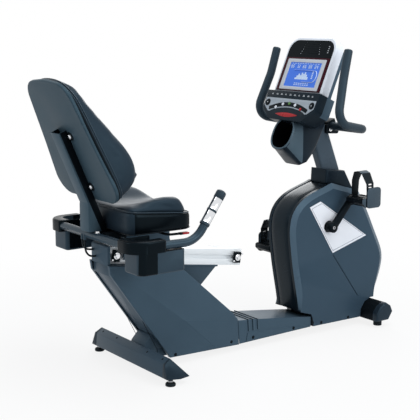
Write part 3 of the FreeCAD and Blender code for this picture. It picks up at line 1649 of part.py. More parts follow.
def pan_outline(inset):
    """Plan of the seat, with a nose at the front."""
    half, rear, front = s.pan_half - inset, s.pan_back + inset, s.pan_front - inset
    return [(rear, -half), (front, -half), (front + s.pan_nose, 0), (front, half), (rear, half)]


def round_pan(body, pad, inset):
    """Round the upright corners of a pad with the seat's plan."""
    outline = pan_outline(inset)
    rear = straight_edges(pad.Shape, 2, [outline[0], outline[4]])
    soft = dress(body, "Fillet", pad, rear, s.pan_rear_corner - inset)
    front = straight_edges(soft.Shape, 2, [outline[1], outline[3]])
    soft = dress(body, "Fillet", soft, front, s.pan_front_corner - inset)
    return dress(body, "Fillet", soft, straight_edges(soft.Shape, 2, [outline[2]]), 160)


def make_seat_pan():
    """Glossy moulded skirt, and the cushion in it."""
    pan = new_body("seat_pan")
    bottom = s.seat_plate_z + 0.3
    pad = floor_plate(pan, "Pad", pan_outline(0), bottom, s.pan_top)
    soft = round_pan(pan, pad, 0)
    edge = dress(pan, "Fillet", soft, flat_edges(soft.Shape, 2, bottom), 8)
    hollow(pan, edge, 2, s.pan_top, s.pan_wall)
    cushion = new_body("seat_cushion")
    low = s.pan_top + 0.3
    pad = floor_plate(cushion, "Pad", pan_outline(as_size(3)), low, low + s.cushion_rise)
    soft = round_pan(cushion, pad, 3)
    dress(cushion, "Fillet", soft, flat_edges(soft.Shape, 2, low + s.cushion_rise), 14)


def back_outline(inset):
    """Corners of the backrest seen from the front, narrower towards the top."""
    low, top = s.back_half_low - inset, s.back_half_top - inset
    height = s.back_height
    half = [(low, -20 + inset), (low - 44, 221), (top, height + 10 - inset)]
    return half + [(0, height + 26 - inset)] + [(-y, z) for y, z in reversed(half)]


def round_back(body, pad, inset):
    """Round the corners of a pad with the backrest's outline."""
    outline = back_outline(inset)
    low = straight_edges(pad.Shape, 0, [outline[0], outline[6]])
    soft = dress(body, "Fillet", pad, low, s.back_low_corner - inset)
    top = straight_edges(soft.Shape, 0, [outline[2], outline[4]])
    soft = dress(body, "Fillet", soft, top, s.back_top_corner - inset)
    others = straight_edges(soft.Shape, 0, [outline[1], outline[3], outline[5]])
    return dress(body, "Fillet", soft, others, 400)


def make_backrest():
    shell = new_body("back_shell")
    pad = cross_plate(shell, "Pad", back_outline(as_size(0)), 0, s.back_shell_thick)
    soft = round_back(shell, pad, as_size(0))
    dress(shell, "Fillet", soft, flat_edges(soft.Shape, 0, 0), s.back_edge)
    tilt_back(shell)
    front_view = new_body("cushion_front", keep=False)
    low = s.back_shell_thick + 0.3
    pad = cross_plate(front_view, "Pad", back_outline(as_size(5)), low, low + s.back_cushion_thick)
    round_back(front_view, pad, as_size(5))
    tilt_back(front_view)
    side_view = new_body("cushion_side", keep=False)
    deep = low + s.back_cushion_thick
    profile = [
        (low - 1, -30), (low + 46, -30), (deep - 10, 40), (deep - 1, 110), (deep - 12, 190),
        (low + 44, 350), (low + 26, 460), (low + 14, 500), (low - 1, 500),
    ]
    side_plate(side_view, "Pad", profile, -260, 260)
    tilt_back(side_view)
    cushion = doc.addObject("Part::Common", "back_cushion")
    cushion.Label = "back_cushion"
    cushion.Base = front_view
    cushion.Tool = side_view
    NODES.append(cushion)


def make_bracket():
    """Folded steel channel that carries the backrest, open towards the shell."""
    bracket = new_body("backrest_bracket")
    rear = -36
    base_z = s.seat_plate_z
    heel = s.cross_x - 30
    toe = s.pan_back - 4
    outline = [
        (heel, base_z), (toe, base_z), (toe, base_z + 26), on_back(-0.3, -112), on_back(-0.3, 288),
        on_back(rear, 288), on_back(rear, -12), (heel, 722),
    ]
    half = s.bracket_half
    wall = s.bracket_wall
    side_plate(bracket, "Pad", outline, -half, half)
    inner_half = half - wall
    inside = [
        (heel + wall, base_z + wall), (toe + 5, base_z + wall), (toe + 5, base_z + 30),
        on_back(6, -110), on_back(6, 295), on_back(rear + wall, 295),
        on_back(rear + wall, -10), (heel + wall, 722),
    ]
    side_plate(bracket, "Pocket", inside, -inner_half, inner_half)


def make_lever():
    """Seat release lever: a cranked rod in the deck's lug, with a paddle."""
    x, z = float(s.lever_pivot_x), float(s.lever_pivot_z)
    y = float(s.lever_y)
    start = -float(s.seat_frame_half) - 0.3
    length = float(s.lever_length)
    path = bent_path([(x, start, z), (x, y, z), (x + length * 0.62, y - 4, z - 1)], [22])
    rod = swept_round(path, s.lever_radius)
    paddle = Part.makeBox(46, 24, 8, Vector(x + length * 0.5, y - 16, z - 5))
    paddle = paddle.makeChamfer(2.5, paddle.Edges)
    shaped("adjust_lever", rod.fuse(paddle).removeSplitter())


def make_cables():
    """Sensor cables from the seat handlebar to the cover behind the rail."""
    radius = float(s.cable_radius)
    start_x = float(s.cross_x) - 14
    end_x = float(s.rail_cover_back) - 2
    y_a, y_b = float(s.cable_y), float(s.cable_y) - 20
    routes = {
        "sensor_cable_upper": [(start_x, y_a, 565), (start_x, y_a, 537), (-670, y_a, 517),
                               (end_x, y_a, 517)],
        "sensor_cable_lower": [(start_x, y_b, 565), (start_x, y_b, 524), (-679, y_b, 503),
                               (-661, y_b, 492), (end_x, y_b, 492)],
    }
    for name, route in routes.items():
        places = [Vector(*p) for p in route]
        radii = []
        for a, b, c in zip(places, places[1:], places[2:]):
            turn = (b - a).getAngle(c - b)
            radii.append(0.45 * min((b - a).Length, (c - b).Length) / math.tan(turn / 2))
        print(name, "bend radii", [round(r, 1) for r in radii])
        shaped(name, swept_round(bent_path(route, radii), radius))


# ---------------------------------------------------------------- build and export
def main():
    make_rear_stabiliser()
    make_end_caps()
    make_rear_feet()
    make_front_feet()
    make_base_beam()
    make_rear_post()
    make_post_panels()
    make_beam_cover()
    make_seat_rail()
    make_rail_stops()
    make_rail_cover()
    make_shrouds()
    make_crank_trims()
    make_crank_axle()
    make_crank_bearings()
    make_drive_pulley()
    make_flywheel()
    make_brake_magnet()
    make_drive_belt()
    for side, sign in (("right", 1), ("left", -1)):
        tip, y_sign = make_crank(side, sign)
        make_pedal(side, tip, y_sign)
    make_mast()
    make_collar()
    make_bottle_holder()
    make_console()
    make_keys()
    make_front_handlebar()
    make_bar_clamp()
    axle_up, rear, front = make_carriage()
    make_rollers(axle_up, rear, front)
    make_grips(*make_seat_handlebar())
    make_side_pockets()
    make_seat_pan()
    make_backrest()
    make_bracket()
    make_lever()
    make_cables()
    doc.recompute()
    for item in doc.Objects:
        bad = [state for state in item.State if state in ("Invalid", "Error")]
        if bad:
            raise RuntimeError("%s failed: %s" % (item.Label, bad))
    os.makedirs("parts", exist_ok=True)
    for node in NODES:
        shape = node.Shape
        if shape.isNull() or not shape.isValid() or not shape.Solids:
            raise RuntimeError("%s has no valid solid" % node.Label)
    for node in NODES:
        node.Shape.exportStep("parts/%s.step" % node.Label)
    print(len(NODES), "nodes written")


main()
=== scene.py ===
import json
import logging
import math
from collections.abc import Callable, Sequence
from dataclasses import dataclass, field
from enum import Enum

import bmesh
import bpy
import numpy as np
from bpy.types import Curve, ID, Material, Mesh, Node, NodeSocket, NodeTree, Object
from mathutils import Matrix, Vector


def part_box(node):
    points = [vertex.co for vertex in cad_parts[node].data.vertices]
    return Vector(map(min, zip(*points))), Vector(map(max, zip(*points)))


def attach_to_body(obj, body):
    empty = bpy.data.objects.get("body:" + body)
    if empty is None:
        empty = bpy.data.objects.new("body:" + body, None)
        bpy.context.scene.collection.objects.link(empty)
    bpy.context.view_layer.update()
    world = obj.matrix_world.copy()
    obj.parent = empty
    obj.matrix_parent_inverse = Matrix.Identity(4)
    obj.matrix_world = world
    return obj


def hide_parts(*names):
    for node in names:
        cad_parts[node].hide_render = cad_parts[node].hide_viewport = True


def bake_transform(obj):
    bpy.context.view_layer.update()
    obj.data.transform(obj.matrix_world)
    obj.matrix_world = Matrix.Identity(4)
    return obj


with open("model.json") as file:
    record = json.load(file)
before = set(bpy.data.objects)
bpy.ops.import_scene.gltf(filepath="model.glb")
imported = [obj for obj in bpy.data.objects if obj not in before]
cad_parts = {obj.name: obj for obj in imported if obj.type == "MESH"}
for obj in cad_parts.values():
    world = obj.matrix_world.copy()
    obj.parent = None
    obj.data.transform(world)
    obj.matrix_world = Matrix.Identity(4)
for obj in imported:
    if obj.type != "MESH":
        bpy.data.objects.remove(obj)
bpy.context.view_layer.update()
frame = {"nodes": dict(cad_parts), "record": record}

log = logging.getLogger("recumbent_bike")
Pair = tuple[float, float]
Point = tuple[float, float, float]
Tile = tuple[float, float, float, float]
Outline = Sequence[Pair]

NODES: dict[str, Object] = frame["nodes"]
BODY_OF: dict[str, str] = {
    node: body for body, nodes in frame["record"]["behaviour"]["bodies"].items() for node in nodes
}

SIDES: tuple[tuple[int, str], ...] = ((-1, "right"), (1, "left"))
FORWARDS, LEFTWARDS, UPWARDS = Vector((1, 0, 0)), Vector((0, 1, 0)), Vector((0, 0, 1))


# ------------------------------------------------------------------ finishes
class Grain(Enum):
    """How the surface of a finish is broken up."""

    SMOOTH = "smooth"
    MOULDED = "moulded"
    LEATHER = "leather"
    BRUSHED = "brushed"


# All finishes share a slow cloud, which drifts their colour and gloss, and one tint of their highlights.
CLOUD_SCALE, CLOUD_DETAIL = 9.0, 4.0
CLOUD_RANGE = (0.3, 0.7)
GLOSS_DRIFT = (-0.04, 0.05)
COOL_TINT = (0.50, 0.80, 1.0, 1.0)
COAT_ROUGHNESS, SHEEN_ROUGHNESS = 0.08, 0.45
BUMP_STRENGTH = 0.5
BRUSH_STRETCH = (0.02, 1.0, 1.0)


@dataclass(frozen=True)
class Finish:
    """One surface finish, made as a node material on first use.

    Colours are linear.  The grain size is the width of one grain in metres.
    """

    name: str
    colour: Point
    roughness: float = 0.4
    metallic: float = 0.0
    coat: float = 0.0
    sheen: float = 0.0
    specular: float = 0.20
    grain: Grain = Grain.MOULDED
    grain_size: float = 0.0012
    grain_depth: float = 0.00004
    mottle: float = 0.10

    def material(self) -> Material:
        """Find or build the material.

        Returns:
            The material that carries this finish.
        """
        found = bpy.data.materials.get(self.name + "_finish")
        return found if found else self._build()

    def _build(self) -> Material:
        """Build colour, roughness and bump from Object coordinates.

        Returns:
            The new material.
        """
        material = bpy.data.materials.new(self.name + "_finish")
        material.use_nodes = True
        material.diffuse_color = (*self.colour, 1.0)
        tree = material.node_tree
        shader = tree.nodes["Principled BSDF"]
        shader.inputs["Metallic"].default_value = self.metallic
        shader.inputs["Coat Weight"].default_value = self.coat
        shader.inputs["Coat Roughness"].default_value = COAT_ROUGHNESS
        shader.inputs["Sheen Weight"].default_value = self.sheen
        shader.inputs["Sheen Roughness"].default_value = SHEEN_ROUGHNESS
        shader.inputs["Specular IOR Level"].default_value = self.specular
        if not self.metallic:
            shader.inputs["Specular Tint"].default_value = COOL_TINT
        place = tree.nodes.new("ShaderNodeTexCoord")
        cloud = tree.nodes.new("ShaderNodeTexNoise")
        cloud.inputs["Scale"].default_value = CLOUD_SCALE
        cloud.inputs["Detail"].default_value = CLOUD_DETAIL
        tree.links.new(place.outputs["Object"], cloud.inputs["Vector"])
        shade = tree.nodes.new("ShaderNodeMix")
        shade.data_type = "RGBA"
        low = [max(0.0, channel * (1 - self.mottle)) for channel in self.colour]
        high = [min(1.0, channel * (1 + self.mottle)) for channel in self.colour]
        shade.inputs["A"].default_value = (*low, 1)
        shade.inputs["B"].default_value = (*high, 1)
        tree.links.new(cloud.outputs["Fac"], shade.inputs["Factor"])
        tree.links.new(shade.outputs["Result"], shader.inputs["Base Color"])
        self._roughen(tree, shader, cloud)
        if self.grain is not Grain.SMOOTH:
            self._bump(tree, shader, place)
        return material

    def _roughen(self, tree: NodeTree, shader: Node, cloud: Node) -> None:
        """Let the gloss drift a little over the surface.

        Args:
            tree: The material's node tree.
            shader: The surface shader.
            cloud: The slow noise that the gloss follows.
        """
        smoother, rougher = GLOSS_DRIFT
        drift = tree.nodes.new("ShaderNodeMapRange")
        drift.inputs["From Min"].default_value, drift.inputs["From Max"].default_value = CLOUD_RANGE
        drift.inputs["To Min"].default_value = max(0.02, self.roughness + smoother)
        drift.inputs["To Max"].default_value = min(1.0, self.roughness + rougher)
        tree.links.new(cloud.outputs["Fac"], drift.inputs["Value"])
        tree.links.new(drift.outputs["Result"], shader.inputs["Roughness"])

    def _bump(self, tree: NodeTree, shader: Node, place: Node) -> None:
        """Add the grain as a bump.

        Args:
            tree: The material's node tree.
            shader: The surface shader.
            place: The node that gives the place on the piece.
        """
        stretch = tree.nodes.new("ShaderNodeMapping")
        tree.links.new(place.outputs["Object"], stretch.inputs["Vector"])
        if self.grain is Grain.BRUSHED:
            stretch.inputs["Scale"].default_value = BRUSH_STRETCH
        if self.grain is Grain.LEATHER:
            pores = tree.nodes.new("ShaderNodeTexVoronoi")
            pores.feature = "DISTANCE_TO_EDGE"
            pores.inputs["Randomness"].default_value = 0.9
            height = pores.outputs["Distance"]
        else:
            pores = tree.nodes.new("ShaderNodeTexNoise")
            pores.inputs["Detail"].default_value = 2.0
            height = pores.outputs["Fac"]
        pores.inputs["Scale"].default_value = 1.0 / self.grain_size
        tree.links.new(stretch.outputs["Vector"], pores.inputs["Vector"])
        bump = tree.nodes.new("ShaderNodeBump")
        bump.inputs["Strength"].default_value = BUMP_STRENGTH
        bump.inputs["Distance"].default_value = self.grain_depth
        tree.links.new(height, bump.inputs["Height"])
        tree.links.new(bump.outputs["Normal"], shader.inputs["Normal"])


def srgb(red: int, green: int, blue: int) -> Point:
    """Turn an 8-bit display colour into linear light.

    Args:
        red: Red, 0 to 255.
        green: Green, 0 to 255.
        blue: Blue, 0 to 255.

    Returns:
        The linear colour.
    """
    channels = [value / 255 for value in (red, green, blue)]
    return tuple(c / 12.92 if c <= 0.04045 else ((c + 0.055) / 1.055) ** 2.4 for c in channels)


PAINT_GRAIN = 0.0009
FRAME_PAINT = Finish("frame_paint", srgb(58, 74, 87), roughness=0.34, grain_size=PAINT_GRAIN,
                     grain_depth=0.00003)
TUBE = Finish("tube_paint", srgb(44, 58, 69), roughness=0.26, specular=0.3, grain_size=PAINT_GRAIN,
              grain_depth=0.00002)
MAST = Finish("mast_paint", srgb(68, 80, 91), roughness=0.30, grain_size=PAINT_GRAIN, grain_depth=0.00002)
# The real colour of the end caps, and also a painted highlight on the seat pan's rear-facing faces.
CAP_AND_PAN_HIGHLIGHT = Finish("cap_moulding_and_pan_painted_highlight", srgb(31, 42, 52), roughness=0.36)
PANEL = Finish("slate_moulding", srgb(62, 80, 94), roughness=0.42, grain_depth=0.00006)
SHROUD = Finish("shroud_moulding", srgb(53, 71, 86), roughness=0.33, grain_depth=0.00004, mottle=0.06)
TUB = Finish("tub_moulding", srgb(46, 60, 71), roughness=0.40, grain_depth=0.00005)
# BEVEL: a lighter copy of the shroud colour, a painted highlight on the shroud's slanted bevel.
BEVEL = Finish("shroud_edge_painted_highlight", srgb(74, 93, 108), roughness=0.30, grain_depth=0.00003, mottle=0.05)
BAND = Finish("dark_band", srgb(19, 27, 34), roughness=0.24, specular=0.14, grain_depth=0.00002)
COLLAR = Finish("collar_moulding", srgb(24, 33, 42), roughness=0.30, specular=0.13)
HOUSING = Finish("console_housing", srgb(22, 31, 39), roughness=0.30, specular=0.11, grain_depth=0.00002)
# A lighter copy of the collar colour, a painted highlight on the bottle holder's cheek.
CHEEK_HIGHLIGHT = Finish("holder_cheek_painted_highlight", srgb(68, 84, 95), roughness=0.30, specular=0.4, grain_depth=0.00003)
# Near-black painted shade inside the bottle holder's bore.
BORE_SHADE = Finish("painted_bore_shade", srgb(4, 6, 8), roughness=0.70, specular=0.02)
# Real black mouldings, and also painted shade on the seat carriage under the pan and on the backrest
# bracket's side.
BLACK_AND_PAINTED_SHADE = Finish("black_moulding_and_painted_shade", srgb(13, 17, 21), roughness=0.38, specular=0.08)
# Real glossy black parts, and also a painted dark reflection round the rear corner of the side pockets.
DARK_GLOSS_AND_PAINTED_REFLECTION = Finish("black_gloss_and_painted_reflection", srgb(7, 11, 15), roughness=0.24, specular=0.10, grain_depth=0.00001)
PALE = Finish("pale_gloss", srgb(226, 232, 241), roughness=0.24, coat=0.1, grain=Grain.SMOOTH, mottle=0.02)
TRIM = Finish("trim_silver", srgb(236, 240, 247), roughness=0.30, specular=0.1,
              grain_depth=0.00002, mottle=0.03)
SILVER = Finish("silver_panel", srgb(164, 174, 184), roughness=0.30, grain_depth=0.00002, mottle=0.03)
FRAME_SILVER = Finish("screen_frame", srgb(196, 202, 210), roughness=0.28, grain=Grain.SMOOTH,
                      mottle=0.02)
LENS = Finish("smoked_lens", srgb(10, 13, 16), roughness=0.22, specular=0.07, grain=Grain.SMOOTH, mottle=0.03)
MAROON = Finish("dark_red_border", srgb(54, 2, 14), roughness=0.30, specular=0.1,
                grain=Grain.SMOOTH, mottle=0.04)
LCD_GLASS = Finish("lcd_glass", srgb(80, 128, 234), roughness=0.30, specular=0.1,
                   grain=Grain.SMOOTH, mottle=0.05)
GLASS_MARKS = Finish("lcd_marks", srgb(206, 226, 252), roughness=0.30, grain=Grain.SMOOTH, mottle=0.02)
MARKS = Finish("printed_marks", srgb(206, 212, 218), roughness=0.40, grain=Grain.SMOOTH, mottle=0.02)
RAIL = Finish("rail_aluminium", srgb(226, 232, 236), roughness=0.30, metallic=0.35,
              grain=Grain.BRUSHED, mottle=0.02)
STEEL = Finish("machined_steel", srgb(176, 178, 182), roughness=0.25, metallic=1.0, grain=Grain.BRUSHED)
CHROME = Finish("chrome", srgb(225, 227, 230), roughness=0.08, metallic=1.0, grain=Grain.SMOOTH, mottle=0.02)
CAST = Finish("cast_iron", srgb(88, 88, 92), roughness=0.5, metallic=0.8, grain_size=0.002)
RUBBER = Finish("black_rubber", srgb(17, 19, 21), roughness=0.62, grain_depth=0.0001)
BUCKLE = Finish("slate_buckle", srgb(62, 74, 84), roughness=0.38)
FOAM = Finish("foam_grip", srgb(36, 46, 55), roughness=0.50, specular=0.35, grain_size=0.0016,
              grain_depth=0.00018)
VINYL = Finish("seat_vinyl", srgb(31, 44, 55), roughness=0.44, sheen=0.05, specular=0.16, grain=Grain.LEATHER,
               grain_size=0.0035, grain_depth=0.00010, mottle=0.05)
WELT = Finish("welt_vinyl", srgb(44, 56, 66), roughness=0.38, grain_size=PAINT_GRAIN, mottle=0.05)
SHELL = Finish("back_shell_moulding", srgb(53, 71, 82), roughness=0.48, grain_size=0.0015, grain_depth=0.0001)
BRACKET = Finish("bracket_paint", srgb(66, 85, 97), roughness=0.46, specular=0.12, grain_depth=0.00003)
CABLE = Finish("cable_sheath", srgb(13, 15, 17), roughness=0.45, grain_depth=0.00002)
RED = Finish("red_key", srgb(170, 26, 30), roughness=0.30, grain=Grain.SMOOTH, mottle=0.04)
GREEN = Finish("green_key", srgb(92, 132, 70), roughness=0.30, grain=Grain.SMOOTH, mottle=0.04)
RED_PLATE = Finish("red_plate", srgb(168, 20, 24), roughness=0.26, coat=0.2, grain=Grain.SMOOTH, mottle=0.04)


# ------------------------------------------------------------------ mesh tools
WELD = 1e-6  # points closer than this, in metres, are one point
CAD_WELD = 2e-6
CAD_SLIVER = 1e-7
FLAT_DEGREES = 0.6  # CAD facets that turn by less are one flat face
EDGE_DEGREES = 30  # CAD edges that turn by more are rounded
TINY = 1e-6


def linked(name: str, data: ID) -> Object:
    """Put a new object with this data into the scene.

    Args:
        name: The object's name.
        data: Its mesh, curve, camera or lamp.

    Returns:
        The new object, at the origin.
    """
    made = bpy.data.objects.new(name, data)
    bpy.context.scene.collection.objects.link(made)
    return made


def drop(helper: Object) -> None:
    """Remove an object that was only made to help with another."""
    bpy.data.objects.remove(helper)


def plain_mesh(piece: Object) -> Mesh:
    """Work out what a piece's modifiers, or its curve, make of it.

    Args:
        piece: The object; it is left as it was.

    Returns:
        The resulting mesh.
    """
    depsgraph = bpy.context.evaluated_depsgraph_get()
    depsgraph.update()
    return bpy.data.meshes.new_from_object(piece.evaluated_get(depsgraph))


def new_piece(name: str, mesh: Mesh, finish: Finish) -> Object:
    """Put a mesh into the scene as a piece with one finish.

    Args:
        name: The piece's name.
        mesh: Its mesh, with its place in the vertices.
        finish: The finish of every face.

    Returns:
        The new object, at the origin.
    """
    piece = linked(name, mesh)
    mesh.materials.clear()
    mesh.materials.append(finish.material())
    return piece


def mesh_from(name: str, build: Callable[[bmesh.types.BMesh], None], smooth: bool = True) -> Mesh:
    """Make a mesh with a bmesh builder.

    Args:
        name: The mesh's name.
        build: Fills the bmesh it is given.
        smooth: Shade the faces smooth.

    Returns:
        The mesh, with its normals pointing outwards.
    """
    made = bmesh.new()
    build(made)
    bmesh.ops.remove_doubles(made, verts=made.verts, dist=WELD)
    bmesh.ops.recalc_face_normals(made, faces=made.faces)
    for face in made.faces:
        face.smooth = smooth
    mesh = bpy.data.meshes.new(name)
    made.to_mesh(mesh)
    made.free()
    return mesh


def sharpen(mesh: Mesh, degrees: float = 32) -> None:
    """Shade a mesh smooth but keep edges sharper than an angle.

    Args:
        mesh: The mesh to change.
        degrees: Edges that turn by more than this stay sharp.
    """
    mesh.set_sharp_from_angle(angle=math.radians(degrees))


def baked(piece: Object) -> Object:
    """Replace a piece's mesh with what its modifiers make of it.

    Args:
        piece: The object, with its modifiers.

    Returns:
        The same object, with no modifiers.
    """
    mesh = plain_mesh(piece)
    piece.modifiers.clear()
    old = piece.data
    piece.data = mesh
    bpy.data.meshes.remove(old)
    return piece


def refined(node: str, finish: Finish, bevel: float = 0.0015, segments: int = 2,
            crisp: float = 35) -> Object:
    """Round the edges of a CAD node's copy, give it a finish and let it stand for the node.

    Args:
        node: The CAD node's name.
        finish: The finish of its surface.
        bevel: Width of the rounded edges in metres; 0 leaves them sharp.
        segments: Segments across a rounded edge.
        crisp: Edges that turn by more degrees than this stay crisp in the shading.

    Returns:
        The piece, riding on the node's body.
    """
    made = bmesh.new()
    made.from_mesh(NODES[node].data)
    bmesh.ops.remove_doubles(made, verts=made.verts, dist=CAD_WELD)
    bmesh.ops.dissolve_degenerate(made, edges=made.edges, dist=CAD_SLIVER)
    bmesh.ops.dissolve_limit(made, angle_limit=math.radians(FLAT_DEGREES), verts=made.verts, edges=made.edges)
    mesh = bpy.data.meshes.new(node + "_shape")
    made.to_mesh(mesh)
    made.free()
    piece = new_piece(node + "_finished", mesh, finish)
    if bevel:
        edges = piece.modifiers.new("edges", "BEVEL")
        edges.width = bevel
        edges.segments = segments
        edges.limit_method = "ANGLE"
        edges.angle_limit = math.radians(EDGE_DEGREES)
        edges.harden_normals = False
        edges.miter_outer = "MITER_ARC"
        baked(piece)
    for face in piece.data.polygons:
        face.use_smooth = True
    sharpen(piece.data, crisp)
    return stand_for(piece, node)


def divide(piece: Object, place: Vector, normal: Vector) -> None:
    """Cut a piece's faces along a plane, so that both sides can have their own finish.

    Args:
        piece: The piece; its outline stays as it is.
        place: A point of the plane.
        normal: The plane's normal.
    """
    made = bmesh.new()
    made.from_mesh(piece.data)
    everything = made.verts[:] + made.edges[:] + made.faces[:]
    bmesh.ops.bisect_plane(made, geom=everything, dist=WELD, plane_co=place, plane_no=normal)
    made.to_mesh(piece.data)
    made.free()


def paint(piece: Object, finish: Finish, wanted: Callable[[Vector, Vector], bool]) -> None:
    """Give some faces of a piece another finish.

    Args:
        piece: The piece.
        finish: The other finish.
        wanted: Says from a face's middle and normal whether it takes that finish.
    """
    piece.data.materials.append(finish.material())
    slot = len(piece.data.materials) - 1
    for face in piece.data.polygons:
        if wanted(face.center, face.normal):
            face.material_index = slot


def stand_for(piece: Object, *nodes: str) -> Object:
    """Let a piece stand for CAD nodes and ride on their body.

    Args:
        piece: The finished piece.
        nodes: The CAD nodes that it stands for.

    Returns:
        The piece.
    """
    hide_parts(*nodes)
    return attach(piece, nodes[0])


def attach(piece: Object, node: str) -> Object:
    """Let a piece ride on a CAD node's body.

    Args:
        piece: The piece.
        node: A CAD node on the same body.

    Returns:
        The piece.
    """
    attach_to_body(piece, BODY_OF[node])
    log.info("%s rides on %s", piece.name, BODY_OF[node])
    return piece


def middle(node: str) -> Vector:
    """The centre of a CAD node's box."""
    low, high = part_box(node)
    return (Vector(low) + Vector(high)) / 2


@dataclass(frozen=True)
class Plane:
    """A work plane: an origin with an across, an up and an outward direction."""

    origin: Vector
    across: Vector
    up: Vector
    out: Vector

    def at(self, across: float, up: float, out: float = 0.0) -> Vector:
        """The point at those distances along the plane's directions."""
        return self.origin + self.across * across + self.up * up + self.out * out

    def matrix(self, out: float) -> Matrix:
        """Make the matrix that carries local x, y and z to across, up and out.

        Args:
            out: How far out of the plane the local origin goes.

        Returns:
            The matrix.
        """
        turned = Matrix((self.across, self.up, self.out)).transposed().to_4x4()
        turned.translation = self.at(0.0, 0.0, out)
        return turned


# ------------------------------------------------------------------ shape tools
EDGE_SHARE = 0.49  # the most of an edge that one rounded corner may take


def rounded_loop(corners: Outline, radii: Sequence[float] | float,
                 steps: int = 6) -> list[Pair]:
    """Round the corners of a closed outline.

    Args:
        corners: The outline's corners in order.
        radii: One radius for all, or one for each corner.
        steps: Steps round each corner.

    Returns:
        The outline with a curve at each corner.
    """
    count = len(corners)
    each = [radii] * count if isinstance(radii, (int, float)) else list(radii)
    loop: list[Pair] = []
    for index, corner in enumerate(corners):
        here = Vector(corner)
        before = Vector(corners[index - 1]) - here
        after = (Vector(corners[(index + 1) % count]) - here)
        half_turn = before.angle(after) / 2
        reach = min(each[index] / math.tan(half_turn), before.length * EDGE_SHARE, after.length * EDGE_SHARE)
        if reach < TINY:
            loop.append(tuple(here))
            continue
        start = here + before.normalized() * reach
        stop = here + after.normalized() * reach
        for step in range(steps + 1):
            t = step / steps
            loop.append(tuple((1 - t) ** 2 * start + 2 * t * (1 - t) * here + t ** 2 * stop))
    return loop


def plate_mesh(name: str, loop: Outline, plane: Plane, low: float, high: float,
               bevel: float = 0.001, holes: Sequence[Outline] = ()) -> Mesh:
    """Extrude an outline on a plane and round its edges.

    Args:
        name: The mesh's name.
        loop: The outline, across and up.
        plane: The plane it lies on.
        low: Distance of its back face from the plane.
        high: Distance of its front face.
        bevel: Width of the rounded rim.
        holes: Outlines cut through it.

    Returns:
        The closed mesh.
    """
    curve = bpy.data.curves.new(name + "_outline", "CURVE")
    curve.dimensions = "2D"
    curve.fill_mode = "BOTH"
    for ring in (loop, *holes):
        spline = curve.splines.new("POLY")
        spline.points.add(len(ring) - 1)
        for spot, (across, up) in zip(spline.points, ring):
            spot.co = (across, up, 0, 1)
        spline.use_cyclic_u = True
    curve.extrude = abs(high - low) / 2 - bevel
    curve.bevel_depth = bevel
    curve.bevel_resolution = 2
    curve.offset = -bevel
    holder = linked(name + "_outline", curve)
    mesh = plain_mesh(holder)
    drop(holder)
    bpy.data.curves.remove(curve)
    mesh.transform(plane.matrix((low + high) / 2))
    mesh.name = name
    made = bmesh.new()
    made.from_mesh(mesh)
    bmesh.ops.remove_doubles(made, verts=made.verts, dist=WELD)
    bmesh.ops.recalc_face_normals(made, faces=made.faces)
    made.to_mesh(mesh)
    made.free()
    for face in mesh.polygons:
        face.use_smooth = True
    sharpen(mesh, 40)
    return mesh


def lathe_mesh(name: str, profile: Outline, centre: Vector, axis: Vector,
               sides: int = 40) -> Mesh:
    """Turn a profile about an axis.

    Args:
        name: The mesh's name.
        profile: Radius and distance along the axis, from end to end.
        centre: Where the distance along the axis is zero.
        axis: The axis's direction.
        sides: Facets round the axis.

    Returns:
        The mesh, closed at its poles where the radius ends at zero.
    """
    along = axis.normalized()
    across = along.orthogonal().normalized()
    other = along.cross(across)

    def build(made: bmesh.types.BMesh) -> None:
        """Fill the mesh with one ring for each row of the profile.

        Args:
            made: The mesh to fill.
        """
        rings = []
        for radius, distance in profile:
            ring = []
            for side in range(sides):
                angle = 2 * math.pi * side / sides
                spoke = across * math.cos(angle) + other * math.sin(angle)
                ring.append(made.verts.new(centre + along * distance + spoke * max(radius, 1e-5)))
            rings.append(ring)
        for low, high in zip(rings, rings[1:]):
            for side in range(sides):
                nxt = (side + 1) % sides
                made.faces.new((low[side], low[nxt], high[nxt], high[side]))
        made.faces.new(rings[0])
        made.faces.new(rings[-1])

    mesh = mesh_from(name, build)
    sharpen(mesh, 38)
    return mesh


def loft_mesh(name: str, rings: Sequence[Sequence[Vector]]) -> Mesh:
    """Skin a row of rings that have as many points each, and cap both ends.

    Args:
        name: The mesh's name.
        rings: The rings in order.

    Returns:
        The closed mesh.
    """
    def build(made: bmesh.types.BMesh) -> None:
        """Fill the mesh with the skin and its two caps.

        Args:
            made: The mesh to fill.
        """
        lines = [[made.verts.new(spot) for spot in ring] for ring in rings]
        size = len(lines[0])
        for low, high in zip(lines, lines[1:]):
            for index in range(size):
                nxt = (index + 1) % size
                made.faces.new((low[index], low[nxt], high[nxt], high[index]))
        made.faces.new(lines[0])
        made.faces.new(lines[-1])

    return mesh_from(name, build)


def path_curve(name: str, points: Sequence[Sequence[float]], cyclic: bool = False) -> Curve:
    """A smooth curve near a row of points.

    Args:
        name: The curve's name.
        points: Its control points.
        cyclic: Close it on itself.

    Returns:
        The curve data, a NURBS spline of order 3.
    """
    curve = bpy.data.curves.new(name, "CURVE")
    curve.dimensions = "3D"
    spline = curve.splines.new("NURBS")
    spline.points.add(len(points) - 1)
    for spot, place in zip(spline.points, points):
        spot.co = (*place, 1)
    spline.use_cyclic_u = cyclic
    spline.use_endpoint_u = not cyclic
    spline.order_u = 3
    spline.resolution_u = 12
    return curve


